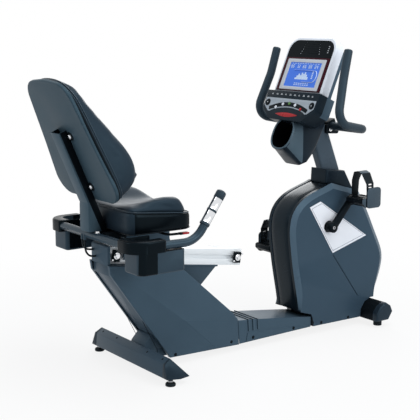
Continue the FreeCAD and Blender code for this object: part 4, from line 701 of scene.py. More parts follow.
# ------------------------------------------------------------------ node trees
class NodeTool:
    """A Geometry Nodes tree with named inputs, run once on a piece and baked."""

    def __init__(self, name: str) -> None:
        """Start an empty tree with a geometry going in and out.

        Args:
            name: The tree's name.
        """
        self.tree = bpy.data.node_groups.new(name, "GeometryNodeTree")
        self.tree.is_modifier = True
        self.names: dict[str, str] = {}
        self.take("Geometry", "NodeSocketGeometry")
        self.tree.interface.new_socket("Geometry", in_out="OUTPUT", socket_type="NodeSocketGeometry")
        self.enter = self.tree.nodes.new("NodeGroupInput")
        self.leave = self.tree.nodes.new("NodeGroupOutput")

    def take(self, name: str, kind: str, value: float | Sequence[float] | None = None) -> None:
        """Add a named input.

        Args:
            name: The input's name.
            kind: Its socket type.
            value: Its default.
        """
        socket = self.tree.interface.new_socket(name, in_out="INPUT", socket_type=kind)
        if value is not None:
            socket.default_value = value
        self.names[name] = socket.identifier

    def add(self, kind: str, **settings: str) -> Node:
        """Add a node and set its options.

        Args:
            kind: The node's type.
            settings: Its options by name.

        Returns:
            The node.
        """
        node = self.tree.nodes.new(kind)
        for key, value in settings.items():
            setattr(node, key, value)
        return node

    def join(self, source: NodeSocket, target: NodeSocket) -> None:
        """Link two sockets."""
        self.tree.links.new(source, target)

    def wrap_up(self, geometry: NodeSocket) -> None:
        """Realize the instances, give them the finish and send them out.

        Args:
            geometry: The socket that the geometry comes from.
        """
        real = self.add("GeometryNodeRealizeInstances")
        finish = self.add("GeometryNodeSetMaterial")
        self.take("Finish", "NodeSocketMaterial")
        self.join(geometry, real.inputs["Geometry"])
        self.join(real.outputs["Geometry"], finish.inputs["Geometry"])
        self.join(self.enter.outputs["Finish"], finish.inputs["Material"])
        self.join(finish.outputs["Geometry"], self.leave.inputs["Geometry"])

    def run(self, carrier: Object, values: dict[str, object]) -> Mesh:
        """Evaluate the tree on an object.

        Args:
            carrier: The object whose data goes in; it is left as it was.
            values: A value for each named input.

        Returns:
            The resulting plain mesh.
        """
        modifier = carrier.modifiers.new(self.tree.name, "NODES")
        modifier.node_group = self.tree
        for name, value in values.items():
            modifier[self.names[name]] = value
        mesh = plain_mesh(carrier)
        carrier.modifiers.remove(modifier)
        return mesh


class BeadTool(NodeTool):
    """Sweeps a round or flattened section along a curve."""

    def __init__(self) -> None:
        """Build the tree."""
        super().__init__("bead_along_path")
        self.take("Radius", "NodeSocketFloat", 0.003)
        self.take("Squeeze", "NodeSocketFloat", 1.0)
        ring = self.add("GeometryNodeCurvePrimitiveCircle", mode="RADIUS")
        ring.inputs["Resolution"].default_value = 12
        squash = self.add("GeometryNodeTransform")
        shape = self.add("ShaderNodeCombineXYZ")
        shape.inputs["X"].default_value = 1.0
        shape.inputs["Z"].default_value = 1.0
        sweep = self.add("GeometryNodeCurveToMesh")
        sweep.inputs["Fill Caps"].default_value = True
        shade = self.add("GeometryNodeSetShadeSmooth")
        self.join(self.enter.outputs["Radius"], ring.inputs["Radius"])
        self.join(self.enter.outputs["Squeeze"], shape.inputs["Y"])
        self.join(ring.outputs["Curve"], squash.inputs["Geometry"])
        self.join(shape.outputs["Vector"], squash.inputs["Scale"])
        self.join(self.enter.outputs["Geometry"], sweep.inputs["Curve"])
        self.join(squash.outputs["Geometry"], sweep.inputs["Profile Curve"])
        self.join(sweep.outputs["Mesh"], shade.inputs["Geometry"])
        self.wrap_up(shade.outputs["Geometry"])


class FastenerTool(NodeTool):
    """Sets a copy of a fastener on each point, turned to face along the point's own direction."""

    def __init__(self) -> None:
        """Build the tree."""
        super().__init__("fasteners_on_seats")
        self.take("Fastener", "NodeSocketObject")
        part = self.add("GeometryNodeObjectInfo")
        facing = self.add("GeometryNodeInputNamedAttribute", data_type="FLOAT_VECTOR")
        facing.inputs["Name"].default_value = "facing"
        turn = self.add("FunctionNodeAlignRotationToVector", axis="Z")
        place = self.add("GeometryNodeInstanceOnPoints")
        self.join(self.enter.outputs["Fastener"], part.inputs["Object"])
        self.join(facing.outputs["Attribute"], turn.inputs["Vector"])
        self.join(self.enter.outputs["Geometry"], place.inputs["Points"])
        self.join(part.outputs["Geometry"], place.inputs["Instance"])
        self.join(turn.outputs["Rotation"], place.inputs["Rotation"])
        self.wrap_up(place.outputs["Instances"])


class RowTool(NodeTool):
    """Repeats the incoming piece along a step."""

    def __init__(self) -> None:
        """Build the tree."""
        super().__init__("row_of_copies")
        self.take("Count", "NodeSocketInt", 3)
        self.take("Step", "NodeSocketVector", (0.01, 0, 0))
        line = self.add("GeometryNodeMeshLine", mode="OFFSET", count_mode="TOTAL")
        place = self.add("GeometryNodeInstanceOnPoints")
        self.join(self.enter.outputs["Count"], line.inputs["Count"])
        self.join(self.enter.outputs["Step"], line.inputs["Offset"])
        self.join(line.outputs["Mesh"], place.inputs["Points"])
        self.join(self.enter.outputs["Geometry"], place.inputs["Instance"])
        self.wrap_up(place.outputs["Instances"])


BEADS = BeadTool()
FASTENERS = FastenerTool()
ROWS = RowTool()


def bead(name: str, points: Sequence[Sequence[float]], radius: float, finish: Finish,
         cyclic: bool = False, squeeze: float = 1.0) -> Object:
    """A bead, such as piping, that follows a path.

    Args:
        name: The piece's name.
        points: The path's control points.
        radius: The bead's radius.
        finish: Its finish.
        cyclic: Close the bead on itself.
        squeeze: Flattening of its section, 1 for round.

    Returns:
        The bead, as a mesh.
    """
    holder = linked(name + "_path", path_curve(name + "_path", points, cyclic))
    mesh = BEADS.run(holder, {"Radius": radius, "Squeeze": squeeze, "Finish": finish.material()})
    drop(holder)
    return new_piece(name, mesh, finish)


def fasteners(name: str, template: Mesh, seats: Sequence[tuple[Vector, Vector]],
              finish: Finish) -> Object:
    """Copies of one fastener on a set of seats.

    Args:
        name: The piece's name.
        template: The fastener, standing on its origin and pointing up +Z.
        seats: The place and the outward direction of each.
        finish: Their finish.

    Returns:
        One mesh piece that holds them all.
    """
    points = bpy.data.meshes.new(name + "_seats")
    points.from_pydata([tuple(place) for place, _ in seats], [], [])
    facing = points.attributes.new("facing", "FLOAT_VECTOR", "POINT")
    facing.data.foreach_set("vector", [axis for _, way in seats for axis in way.normalized()])
    holder = linked(name + "_seats", points)
    part = linked(name + "_part", template)
    mesh = FASTENERS.run(holder, {"Fastener": part, "Finish": finish.material()})
    drop(holder)
    drop(part)
    return new_piece(name, mesh, finish)


def row(name: str, single: Mesh, count: int, start: Vector, step: Vector,
        finish: Finish) -> Object:
    """An even row of copies of one piece.

    Args:
        name: The piece's name.
        single: The first copy, about the origin.
        count: How many.
        start: Where the first one goes.
        step: From each to the next.
        finish: Their finish.

    Returns:
        One mesh piece that holds them all.
    """
    holder = linked(name + "_single", single)
    mesh = ROWS.run(holder, {"Count": count, "Step": tuple(step), "Finish": finish.material()})
    drop(holder)
    mesh.transform(Matrix.Translation(start))
    return new_piece(name, mesh, finish)


# ------------------------------------------------------------------ fasteners
def hex_bolt(radius: float, head: float) -> Mesh:
    """A hexagon head on a washer.

    Args:
        radius: Across the corners, halved.
        head: Height of the head.

    Returns:
        The mesh, standing on the origin.
    """
    washer = [(0, -0.001), (radius * 1.35, -0.001), (radius * 1.35, 0.0010), (radius * 1.28, 0.0015),
              (0, 0.0015)]
    hexagon = [(0, 0.001), (radius, 0.001), (radius, head * 0.86), (radius * 0.9, head), (0, head)]
    return merged("hex_bolt", [lathe_mesh("washer", washer, Vector(), UPWARDS, 28),
                               lathe_mesh("hexagon", hexagon, Vector(), UPWARDS, 6)])


def socket_bolt(radius: float, head: float) -> Mesh:
    """A round socket head with a recess.

    Args:
        radius: Radius of the head.
        head: Height of the head.

    Returns:
        The mesh, standing on the origin.
    """
    profile = [(0, -0.001), (radius, -0.001), (radius, head * 0.75), (radius * 0.86, head),
               (radius * 0.5, head), (radius * 0.46, head * 0.3), (0, head * 0.3)]
    return lathe_mesh("socket_bolt", profile, Vector(), UPWARDS, 24)


def snap_plug(radius: float) -> Mesh:
    """A domed plug that closes a screw hole.

    Args:
        radius: Radius of its rim.

    Returns:
        The mesh, standing on the origin.
    """
    profile = [(0, -0.001), (radius, -0.001), (radius, 0.0006), (radius * 0.8, 0.0016),
               (radius * 0.35, 0.0021), (0, 0.0022)]
    return lathe_mesh("snap_plug", profile, Vector(), UPWARDS, 24)


def merged(name: str, meshes: Sequence[Mesh]) -> Mesh:
    """Join meshes into one.

    Args:
        name: The new mesh's name.
        meshes: The meshes to join.

    Returns:
        The joined mesh, with the edges that were sharp still sharp.
    """
    made = bmesh.new()
    for mesh in meshes:
        made.from_mesh(mesh)
    joined = bpy.data.meshes.new(name)
    made.to_mesh(joined)
    made.free()
    return joined


# ------------------------------------------------------------------ work planes
def leaning_plane(x: float, z: float, lean: float, forwards: bool) -> Plane:
    """A plane across the bike whose up direction leans.

    Args:
        x: Where it starts, along the bike.
        z: Where it starts, above the floor.
        lean: Degrees that it leans, forwards going up if positive.
        forwards: Its outward side faces forwards, else towards the rider.

    Returns:
        The plane.
    """
    turn = math.radians(lean)
    up = Vector((math.sin(turn), 0, math.cos(turn)))
    across = Vector((0, 1 if forwards else -1, 0))
    return Plane(Vector((x, 0, z)), across, up, across.cross(up))


FACE_LEAN, BACK_LEAN = 23.6, -23.3
FACE = leaning_plane(0.392, 1.121, FACE_LEAN, forwards=False)
BACK = leaning_plane(-0.681, 0.752, BACK_LEAN, forwards=True)


def side_of(y: float) -> Plane:
    """The upright plane along the bike at that y, facing outwards, with the real x and z as its sizes."""
    outward = Vector((0, math.copysign(1.0, y), 0))
    return Plane(Vector((0, y, 0)), FORWARDS, UPWARDS, outward)


# ------------------------------------------------------------------ studio
def aimed(place: Point, back: Vector) -> Matrix:
    """The matrix of a camera or lamp at a place, which looks away from that direction."""
    return Matrix.Translation(place) @ back.to_track_quat("Z", "Y").to_matrix().to_4x4()


def combined(tree: NodeTree, operation: str, *sources: NodeSocket) -> NodeSocket:
    """Take values together, one after the other, with Math nodes.

    Args:
        tree: The shader's node tree.
        operation: What each node does.
        sources: The sockets of the values, two or more.

    Returns:
        The socket of the result.
    """
    result = sources[0]
    for source in sources[1:]:
        node = tree.nodes.new("ShaderNodeMath")
        node.operation = operation
        tree.links.new(result, node.inputs[0])
        tree.links.new(source, node.inputs[1])
        result = node.outputs["Value"]
    return result


def mixed(tree: NodeTree, share: NodeSocket, first: NodeSocket,
          second: NodeSocket) -> NodeSocket:
    """Mix two shaders.

    Args:
        tree: The shader's node tree.
        share: The share of the second one.
        first: The first shader.
        second: The second shader.

    Returns:
        The socket of the mix.
    """
    choose = tree.nodes.new("ShaderNodeMixShader")
    tree.links.new(share, choose.inputs["Fac"])
    tree.links.new(first, choose.inputs[1])
    tree.links.new(second, choose.inputs[2])
    return choose.outputs["Shader"]


@dataclass(frozen=True)
class Lamp:
    """A square soft lamp, aimed at a point."""

    name: str
    place: Point
    target: Point
    size: float
    power: float

    def hang(self) -> None:
        """Put the lamp into the scene."""
        data = bpy.data.lights.new(self.name, "AREA")
        data.shape = "SQUARE"
        data.size = self.size
        data.energy = self.power
        linked(self.name, data).matrix_world = aimed(self.place, Vector(self.place) - Vector(self.target))


@dataclass
class Studio:
    """Camera, soft lamps, pale world and floor."""

    eye: Point = (-2.7098, -3.6194, 1.4332)
    azimuth: float = -35.876
    elevation: float = 10.239
    lens: float = 90.54
    sensor: float = 36.0
    far_end: float = 60.0
    sky: Point = (0.93, 0.96, 1.0)
    sky_strength: float = 0.42
    floor_size: float = 16.0
    paper: Point = (0.86, 0.87, 0.88)
    paper_roughness: float = 0.9
    shadow_reach: Pair = (0.7, 2.4)
    shadow_glow: Pair = (0.84, 1.0)
    lamps: tuple[Lamp, ...] = (
        Lamp("overhead", (0.2, -0.9, 3.6), (0.0, 0.0, 0.4), 2.4, 58),
        Lamp("rider_right", (1.2, -4.2, 2.2), (0.1, 0.0, 0.6), 2.2, 66),
        Lamp("behind", (-4.4, 1.0, 2.4), (0.0, 0.0, 0.7), 1.8, 26),
        Lamp("far_side", (2.4, 3.2, 2.4), (0.1, 0.0, 0.8), 2.0, 40),
    )

    def place_camera(self) -> None:
        """Create the camera and make it the scene's."""
        data = bpy.data.cameras.new("camera")
        data.lens = self.lens
        data.sensor_width = self.sensor
        data.clip_end = self.far_end
        camera = linked("camera", data)
        turn, rise = math.radians(self.azimuth), math.radians(self.elevation)
        back = Vector((math.sin(turn) * math.cos(rise), -math.cos(turn) * math.cos(rise), math.sin(rise)))
        camera.matrix_world = aimed(self.eye, back)
        bpy.context.scene.camera = camera

    def light(self) -> None:
        """Hang the lamps in a pale world that looks white where it is seen or mirrored."""
        world = bpy.data.worlds.new("studio")
        world.use_nodes = True
        tree = world.node_tree
        soft = tree.nodes["Background"]
        soft.inputs["Color"].default_value = (*self.sky, 1)
        soft.inputs["Strength"].default_value = self.sky_strength
        bright = tree.nodes.new("ShaderNodeBackground")
        bright.inputs["Color"].default_value = (1, 1, 1, 1)
        bright.inputs["Strength"].default_value = 1.0
        rays = tree.nodes.new("ShaderNodeLightPath")
        seen = combined(tree, "MAXIMUM", rays.outputs["Is Camera Ray"], rays.outputs["Is Transmission Ray"],
                        rays.outputs["Is Glossy Ray"])
        surface = mixed(tree, seen, soft.outputs["Background"], bright.outputs["Background"])
        tree.links.new(surface, tree.nodes["World Output"].inputs["Surface"])
        bpy.context.scene.world = world
        for lamp in self.lamps:
            lamp.hang()

    def lay_floor(self) -> None:
        """Lay the pale floor, which keeps a faint shadow of the bike."""
        half = self.floor_size / 2
        corners = [(-half, -half, 0), (half, -half, 0), (half, half, 0), (-half, half, 0)]
        mesh = bpy.data.meshes.new("floor")
        mesh.from_pydata(corners, [], [(0, 1, 2, 3)])
        mesh.materials.append(self._floor_paper())
        linked("floor", mesh)

    def _floor_paper(self) -> Material:
        """Make the floor's paper, whose glow rises to white away from the bike.

        Returns:
            The paper's material.
        """
        material = bpy.data.materials.new("floor_paper")
        material.use_nodes = True
        tree = material.node_tree
        paper = tree.nodes["Principled BSDF"]
        paper.inputs["Base Color"].default_value = (*self.paper, 1)
        paper.inputs["Roughness"].default_value = self.paper_roughness
        glow = tree.nodes.new("ShaderNodeEmission")
        glow.inputs["Strength"].default_value = 1.0
        place = tree.nodes.new("ShaderNodeTexCoord")
        reach = tree.nodes.new("ShaderNodeVectorMath")
        reach.operation = "LENGTH"
        tree.links.new(place.outputs["Object"], reach.inputs[0])
        fade = tree.nodes.new("ShaderNodeMapRange")
        fade.interpolation_type = "SMOOTHSTEP"
        fade.inputs["From Min"].default_value, fade.inputs["From Max"].default_value = self.shadow_reach
        fade.inputs["To Min"].default_value, fade.inputs["To Max"].default_value = self.shadow_glow
        tree.links.new(reach.outputs["Value"], fade.inputs["Value"])
        rays = tree.nodes.new("ShaderNodeLightPath")
        seen = combined(tree, "MAXIMUM", rays.outputs["Is Camera Ray"], rays.outputs["Is Glossy Ray"])
        share = combined(tree, "MULTIPLY", seen, fade.outputs["Result"])
        surface = mixed(tree, share, paper.outputs["BSDF"], glow.outputs["Emission"])
        tree.links.new(surface, tree.nodes["Material Output"].inputs["Surface"])
        return material


# ------------------------------------------------------------------ cords
@dataclass
class SensorCables:
    """The two leads from the pulse grips, which hang between the seat and the rail's rear cover."""

    diameter: float = 0.008
    upper: tuple[Point, ...] = (
        (-0.690, 0.048, 0.565), (-0.690, 0.048, 0.537), (-0.670, 0.048, 0.517), (-0.642, 0.048, 0.517),
    )
    lower: tuple[Point, ...] = (
        (-0.690, 0.028, 0.565), (-0.690, 0.028, 0.524), (-0.679, 0.028, 0.503), (-0.661, 0.028, 0.492),
        (-0.642, 0.028, 0.492),
    )

    def build(self) -> None:
        """Make both cables."""
        for name, route in (("upper", self.upper), ("lower", self.lower)):
            self._cable(f"sensor_cable_{name}", route)

    def _cable(self, node: str, route: Sequence[Point]) -> None:
        """Make one cable along its route, as a tube.

        Args:
            node: The cable's CAD node.
            route: The control points of its line, from the seat to the frame.
        """
        line = linked(node + "_line", path_curve(node + "_line", route))
        path = [tuple(vertex.co) for vertex in plain_mesh(line).vertices]
        mesh = BEADS.run(line, {"Radius": self.diameter / 2, "Squeeze": 1.0, "Finish": CABLE.material()})
        drop(line)
        piece = new_piece(node + "_lead", mesh, CABLE)
        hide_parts(node)
        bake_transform(piece)


# ------------------------------------------------------------------ undercarriage
@dataclass
class Undercarriage:
    """Stabilisers, feet, spine, rear post and the panels over them."""

    plug_radius: float = 0.0075
    bar_plug_radius: float = 0.005
    bar_slope: Point = (-0.53, 0, 0.85)
    cover_rim: float = 0.005
    groove: tuple[Point, Point] = ((-0.598, 0.0665, 0.4395), (-0.415, 0.0665, 0.0845))
    groove_radius: float = 0.0011
    foot_at: Pair = (-0.488, 0.280)
    foot_radius: float = 0.021
    pad_top: float = 0.0138
    nut_top: float = 0.0216
    stem_radius: float = 0.006
    stem_top: float = 0.058
    threads: int = 8
    thread_pitch: float = 0.0016

    def build(self) -> None:
        """Dress every piece of the undercarriage."""
        refined("base_beam", FRAME_PAINT, 0.0015)
        refined("rear_post", FRAME_PAINT, 0.0018)
        refined("rear_stabiliser", FRAME_PAINT, 0.003, 3)
        refined("end_caps", CAP_AND_PAN_HIGHLIGHT, 0.003, 3)
        refined("front_stabiliser", BLACK_AND_PAINTED_SHADE, 0.003, 3)
        refined("post_panels", PANEL, 0.0015, crisp=22)
        cover = refined("beam_cover", PANEL, 0.002, crisp=22)
        low, high = (corner[0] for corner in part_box("beam_cover"))
        low, high = low + self.cover_rim, high - self.cover_rim
        paint(cover, BLACK_AND_PAINTED_SHADE, lambda place, normal: abs(normal.x) > 0.5 and low < place.x < high)
        refined("front_feet", RUBBER, 0.0012)
        for side, name in ((1, "left"), (-1, "right")):
            self._levelling_foot(f"rear_foot_{name}", side)
        self._bar_marks()
        self._plugs()
        self._post_groove()

    def _levelling_foot(self, node: str, side: int) -> None:
        """A rubber pad, a hexagon nut and a threaded stem that goes up into the cap.

        Args:
            node: The foot's CAD node.
            side: 1 for the left foot, -1 for the right one.
        """
        x, y = self.foot_at
        centre = Vector((x, side * y, 0))
        radius, stem, lap = self.foot_radius, self.stem_radius, 0.0002
        pad_profile = [(0, 0), (radius * 0.93, 0), (radius, 0.0016), (radius, 0.0088),
                       (radius * 0.86, 0.0125), (radius * 0.52, self.pad_top), (0, self.pad_top)]
        low, high = self.pad_top - lap, self.nut_top
        nut_profile = [(0, low), (stem * 1.75, low), (stem * 1.85, low + 0.001), (stem * 1.85, high - 0.001),
                       (stem * 1.65, high), (0, high)]
        stem_profile = [(0.0, high - lap)]
        for turn in range(self.threads):
            root = high - lap + self.thread_pitch * turn
            stem_profile += [(stem * 0.88, root), (stem, root + self.thread_pitch / 2)]
        stem_profile += [(stem * 0.9, self.stem_top), (0, self.stem_top)]
        pieces = [lathe_mesh(name, profile, centre, UPWARDS, sides)
                  for name, profile, sides in (("pad", pad_profile, 48), ("nut", nut_profile, 6),
                                               ("stem", stem_profile, 24))]
        foot = new_piece(node + "_finished", merged(node, pieces), RUBBER)
        paint(foot, STEEL, lambda place, normal: place.z > self.pad_top + 0.0001)
        stand_for(foot, node)

    def _bar_marks(self) -> None:
        """Blind plugs in the rear bar's top slope, near both ends."""
        seats = [(Vector((-0.4945, side * y, 0.0985)), Vector(self.bar_slope))
                 for side, _ in SIDES for y in (0.234, 0.120)]
        plugs = fasteners("bar_plugs", snap_plug(self.bar_plug_radius), seats, BLACK_AND_PAINTED_SHADE)
        attach(plugs, "rear_stabiliser")

    def _plugs(self) -> None:
        """Close the screw holes along the lower edges of the panels, the cover and the shroud."""
        groups = (("post_panels", 0.0820, ((-0.330, 0.046), (-0.036, 0.048))),
                  ("beam_cover", 0.0840, ((0.083, 0.048), (0.317, 0.049))),
                  ("shroud_left", 0.0900, ((0.480, 0.049), (0.649, 0.046))))
        for node, y, spots in groups:
            seats = [(Vector((x, side * y, z)), LEFTWARDS * side) for x, z in spots for side, _ in SIDES]
            plugs = fasteners(node + "_plugs", snap_plug(self.plug_radius), seats, BLACK_AND_PAINTED_SHADE)
            attach(plugs, node)

    def _post_groove(self) -> None:
        """A dark joint line down the rear of the panels where they meet the post."""
        for side, name in SIDES:
            line = [(x, side * y, z) for x, y, z in self.groove]
            seam = bead(f"post_seam_{name}", line, self.groove_radius, BLACK_AND_PAINTED_SHADE)
            attach(seam, "post_panels")


@dataclass
class SlideRail:
    """The aluminium rail that carries the seat, with its stops and rear cover."""

    pitch: float = 8.1
    back: Pair = (-0.622, 0.5035)
    stops_at: Pair = (0.032, 0.648)
    screws_off: Pair = (-0.020, 0.021)

    def at(self, along: float, up: float, y: float) -> Vector:
        """Find a point by its place along the rail.

        Args:
            along: Distance from the rail's rear end, along its slope.
            up: Distance above its centre line.
            y: Distance to the left of the bike's middle.

        Returns:
            The point.
        """
        turn = math.radians(self.pitch)
        return Vector((self.back[0] + math.cos(turn) * along + math.sin(turn) * up, y,
                       self.back[1] - math.sin(turn) * along + math.cos(turn) * up))

    def build(self) -> None:
        """Dress the rail and its stops."""
        refined("seat_rail", RAIL, 0.001)
        refined("rail_end_stops", BLACK_AND_PAINTED_SHADE, 0.0015)
        refined("rail_rear_cover", PANEL, 0.002, crisp=22)
        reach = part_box("rail_end_stops")[1].y
        seats, screws = [], []
        for along in self.stops_at:
            for side, _ in SIDES:
                out = LEFTWARDS * side
                seats.append((self.at(along, 0.0, side * reach), out))
                for shift in self.screws_off:
                    screws.append((self.at(along + shift, shift * 0.8, side * reach), out))
        for name, fastener, places in (("stop_bolts", hex_bolt(0.0105, 0.008), seats),
                                       ("stop_screws", socket_bolt(0.0042, 0.003), screws)):
            attach(fasteners(name, fastener, places, CHROME), "rail_end_stops")


# ------------------------------------------------------------------ drive
@dataclass
class DriveHousing:
    """Shroud halves, the dark band between them and the working parts inside."""

    side: float = 0.090
    hub: Pair = (0.512, 0.499)
    boss_radius: float = 0.026
    arm_outer: float = 0.128
    pedal_end: float = 0.236
    strap_rise: float = 0.026
    strap_spread: float = 0.45
    buckle: float = 0.030
    groove_inset: float = 0.085
    rim_turn: float = 0.25
    edge_turn: float = 0.94
    seam: tuple[Pair, ...] = ((0.5445, 0.360), (0.625, 0.252), (0.705, 0.145))
    trim: tuple[Pair, ...] = ((0.397, 0.599), (0.461, 0.620), (0.752, 0.430), (0.541, 0.371))

    def build(self) -> None:
        """Dress the shroud and the drive."""
        for side in ("left", "right"):
            half = refined(f"shroud_{side}", SHROUD, 0.0, crisp=16)
            paint(half, BAND, lambda place, normal: abs(normal.y) < self.rim_turn)
            # The slanted bevel faces take a lighter colour as a painted highlight.
            paint(half, BEVEL, lambda place, normal: self.rim_turn <= abs(normal.y) < self.edge_turn)
        refined("shroud_band", BAND, 0.001)
        refined("crank_trims", TRIM, 0.0008)
        for node in ("crank_axle", "crank_bearings"):
            refined(node, STEEL, 0.0008)
        refined("drive_pulley", CAST, 0.001)
        refined("flywheel", CAST, 0.0015)
        refined("brake_magnet", BLACK_AND_PAINTED_SHADE, 0.001)
        refined("drive_belt", RUBBER, 0.0)
        for side, sign in (("left", 1), ("right", -1)):
            refined(f"crank_{side}", BLACK_AND_PAINTED_SHADE, 0.0015)
            pedal = refined(f"pedal_{side}", BLACK_AND_PAINTED_SHADE, 0.0015)
            paint(pedal, BUCKLE, lambda place, normal: abs(place.y) > self.pedal_end and abs(normal.y) > 0.5)
            strap = refined(f"pedal_strap_{side}", RUBBER, 0.0006)
            self._raise_strap(strap, f"pedal_strap_{side}")
            self._boss(side, sign)
        self._trim_lines()
        for sign, side in SIDES:
            line = [(x, sign * self.side, z) for x, z in self.seam]
            seam = bead(f"shroud_seam_{side}", line, 0.0016, BLACK_AND_PAINTED_SHADE, squeeze=0.5)
            attach(seam, f"shroud_{side}")

    def _raise_strap(self, strap: Object, node: str) -> None:
        """Let the strap stand up in a fuller arch, as it does over a shoe.

        Args:
            strap: The strap's piece.
            node: Its CAD node.
        """
        low, high = (Vector(corner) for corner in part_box(node))
        centre_x = (low.x + high.x) / 2
        for vertex in strap.data.vertices:
            share = (vertex.co.z - low.z) / (high.z - low.z)
            vertex.co.z += self.strap_rise * share
            vertex.co.x = centre_x + (vertex.co.x - centre_x) * (1 + self.strap_spread * share * share)
        foot = high.z + self.strap_rise - self.buckle
        paint(strap, BUCKLE, lambda place, normal: place.z > foot and normal.z > 0.4)

    def _boss(self, side: str, sign: int) -> None:
        """A stepped dust cover over the crank's end, with a steel bolt in its middle.

        Args:
            side: "left" or "right".
            sign: 1 for the left, -1 for the right.
        """
        centre, out = Vector((self.hub[0], sign * self.arm_outer, self.hub[1])), LEFTWARDS * sign
        r = self.boss_radius
        cover = lathe_mesh("boss", [(0, -0.002), (r * 0.82, -0.002), (r * 0.82, 0.0016), (r * 0.72, 0.0030),
                                    (r * 0.42, 0.0034), (r * 0.38, 0.0014), (0, 0.0014)], centre, out, 40)
        piece = new_piece(f"crank_boss_{side}", cover, DARK_GLOSS_AND_PAINTED_REFLECTION)
        attach(piece, f"crank_{side}")
        bolt = fasteners(f"crank_bolt_{side}", socket_bolt(r * 0.3, 0.0035), [(centre, out)], STEEL)
        attach(bolt, f"crank_{side}")

    def _trim_lines(self) -> None:
        """A fine groove that runs inside the edge of each pale trim."""
        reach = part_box("crank_trims")[1].y
        middle_x, middle_z = (sum(sizes) / len(sizes) for sizes in zip(*self.trim))
        for sign, side in SIDES:
            line = [(x + (middle_x - x) * self.groove_inset, sign * (reach + 0.0001),
                     z + (middle_z - z) * self.groove_inset) for x, z in self.trim]
            corners = [spot for pair in zip(line, line) for spot in pair]
            groove = bead(f"trim_groove_{side}", corners, 0.0007, PANEL, cyclic=True)
            attach(groove, "crank_trims")


# ------------------------------------------------------------------ mast and console
@dataclass
class MastUnit:
    """Mast, collar, bottle holder and the handlebar beside the console."""

    bar_radius: float = 0.019
    bar_ends: tuple[Point, Point] = ((0.469, 0.242, 1.298), (0.440, 0.248, 1.187))
    cup_at: float = -0.208
    cup_extra: float = 0.006
    cup_power: float = 2.4
    bore_reach: float = 0.072
    cup: tuple[Pair, ...] = (
        (0.0560, -0.090), (0.0595, -0.012), (0.0605, 0.0025), (0.0640, 0.0052), (0.0685, 0.0040),
        (0.0700, 0.0005), (0.0685, -0.0040),
    )
    body_power: float = 6.0
    body: tuple[Tile, ...] = (
        (0.369, 0.070, 0.788, 0.992), (0.402, 0.069, 0.796, 1.002), (0.448, 0.062, 0.838, 1.018),
        (0.510, 0.050, 0.945, 1.030),
    )
    cheek: tuple[Pair, ...] = ((0.536, 0.920), (0.612, 0.915), (0.613, 0.958), (0.537, 0.964))
    cheek_y: float = 0.035
    bolt_at: Pair = (0.562, 0.937)

    def build(self) -> None:
        """Dress the mast and what it carries."""
        refined("mast", MAST, 0.0015)
        refined("mast_collar", COLLAR, 0.0025)
        self._holder()
        refined("front_handlebar", FOAM, 0.0)
        refined("bar_clamp", BLACK_AND_PAINTED_SHADE, 0.003, 3)
        self._bar_plugs()
        self._clamp_bolts()

    def _holder(self) -> None:
        """A lipped cup that widens into a flat-sided body against the mast."""
        rings = []
        for half, out in self.cup:
            loop = oval(half, half + self.cup_extra, self.cup_power)
            rings.append([FACE.at(a, self.cup_at + b, out) for a, b in loop])
        for x, half, low, high in self.body:
            tall = (high - low) / 2
            rings.append([Vector((x, -a, low + tall + b)) for a, b in oval(half, tall, self.body_power)])
        lip, wall = rings[len(self.cup) - 1], rings[len(self.cup)]
        for share in (0.66, 0.33):
            rings.insert(len(self.cup), [a.lerp(b, share) for a, b in zip(lip, wall)])
        holder = new_piece("bottle_holder_finished", loft_mesh("bottle_holder", rings), COLLAR)
        sharpen(holder.data, 40)
        edge = self.body[0][0]
        # The cheek's faces, apart from those turned down, take a lighter painted highlight; faces turned down
        # keep the darker collar colour.
        paint(holder, CHEEK_HIGHLIGHT, lambda place, normal: place.x < edge and normal.z > -0.45)
        # The bore's inside is painted near-black as shade.
        paint(holder, BORE_SHADE, self._in_bore)
        stand_for(holder, "bottle_holder")

    def _in_bore(self, place: Vector, normal: Vector) -> bool:
        """Say whether a face of the holder belongs to the cup's bore, which takes the near-black painted
        shade.

        Args:
            place: The face's middle.
            normal: Its normal.

        Returns:
            True if it does.
        """
        arm = place - FACE.at(0, self.cup_at)
        depth = arm.dot(FACE.out)
        spoke = arm - FACE.out * depth
        faces_in = normal.dot(spoke) < -0.02 or normal.dot(FACE.out) > 0.9
        return faces_in and depth < 0.003 and spoke.length < self.bore_reach

    def _bar_plugs(self) -> None:
        """Domed plugs in the open ends of the handlebar."""
        top, below = Vector(self.bar_ends[0]), Vector(self.bar_ends[1])
        seats = []
        for side, _ in SIDES:
            place = Vector((top.x, side * top.y, top.z))
            seats.append((place, place - Vector((below.x, side * below.y, below.z))))
        r = self.bar_radius
        profile = [(0, -0.004), (r * 0.80, -0.004), (r * 0.97, -0.001), (r * 0.97, 0.001), (r * 0.86, 0.005),
                   (r * 0.55, 0.0075), (0, 0.0085)]
        dome = lathe_mesh("bar_plug", profile, Vector(), UPWARDS, 32)
        attach(fasteners("bar_plugs_top", dome, seats, FOAM), "front_handlebar")

    def _clamp_bolts(self) -> None:
        """A flat cheek on both sides of the clamp, with a chrome bolt in it."""
        seats = []
        for side, name in SIDES:
            plane = side_of(side * self.cheek_y)
            mesh = plate_mesh("clamp_cheek", rounded_loop(self.cheek, 0.012), plane, -0.013, 0.002, 0.002)
            attach(new_piece(f"clamp_cheek_{name}", mesh, BLACK_AND_PAINTED_SHADE), "bar_clamp")
            seats.append((plane.at(*self.bolt_at, 0.002), plane.out))
        attach(fasteners("clamp_bolts", hex_bolt(0.0068, 0.006), seats, CHROME), "bar_clamp")


SEGMENTS: dict[str, str] = {"0": "abcdef", "1": "bc", "2": "abged", "3": "abgcd", "4": "fgbc", "5": "afgcd",
                            "6": "afgedc", "7": "abc", "8": "abcdefg", "9": "gfabcd"}


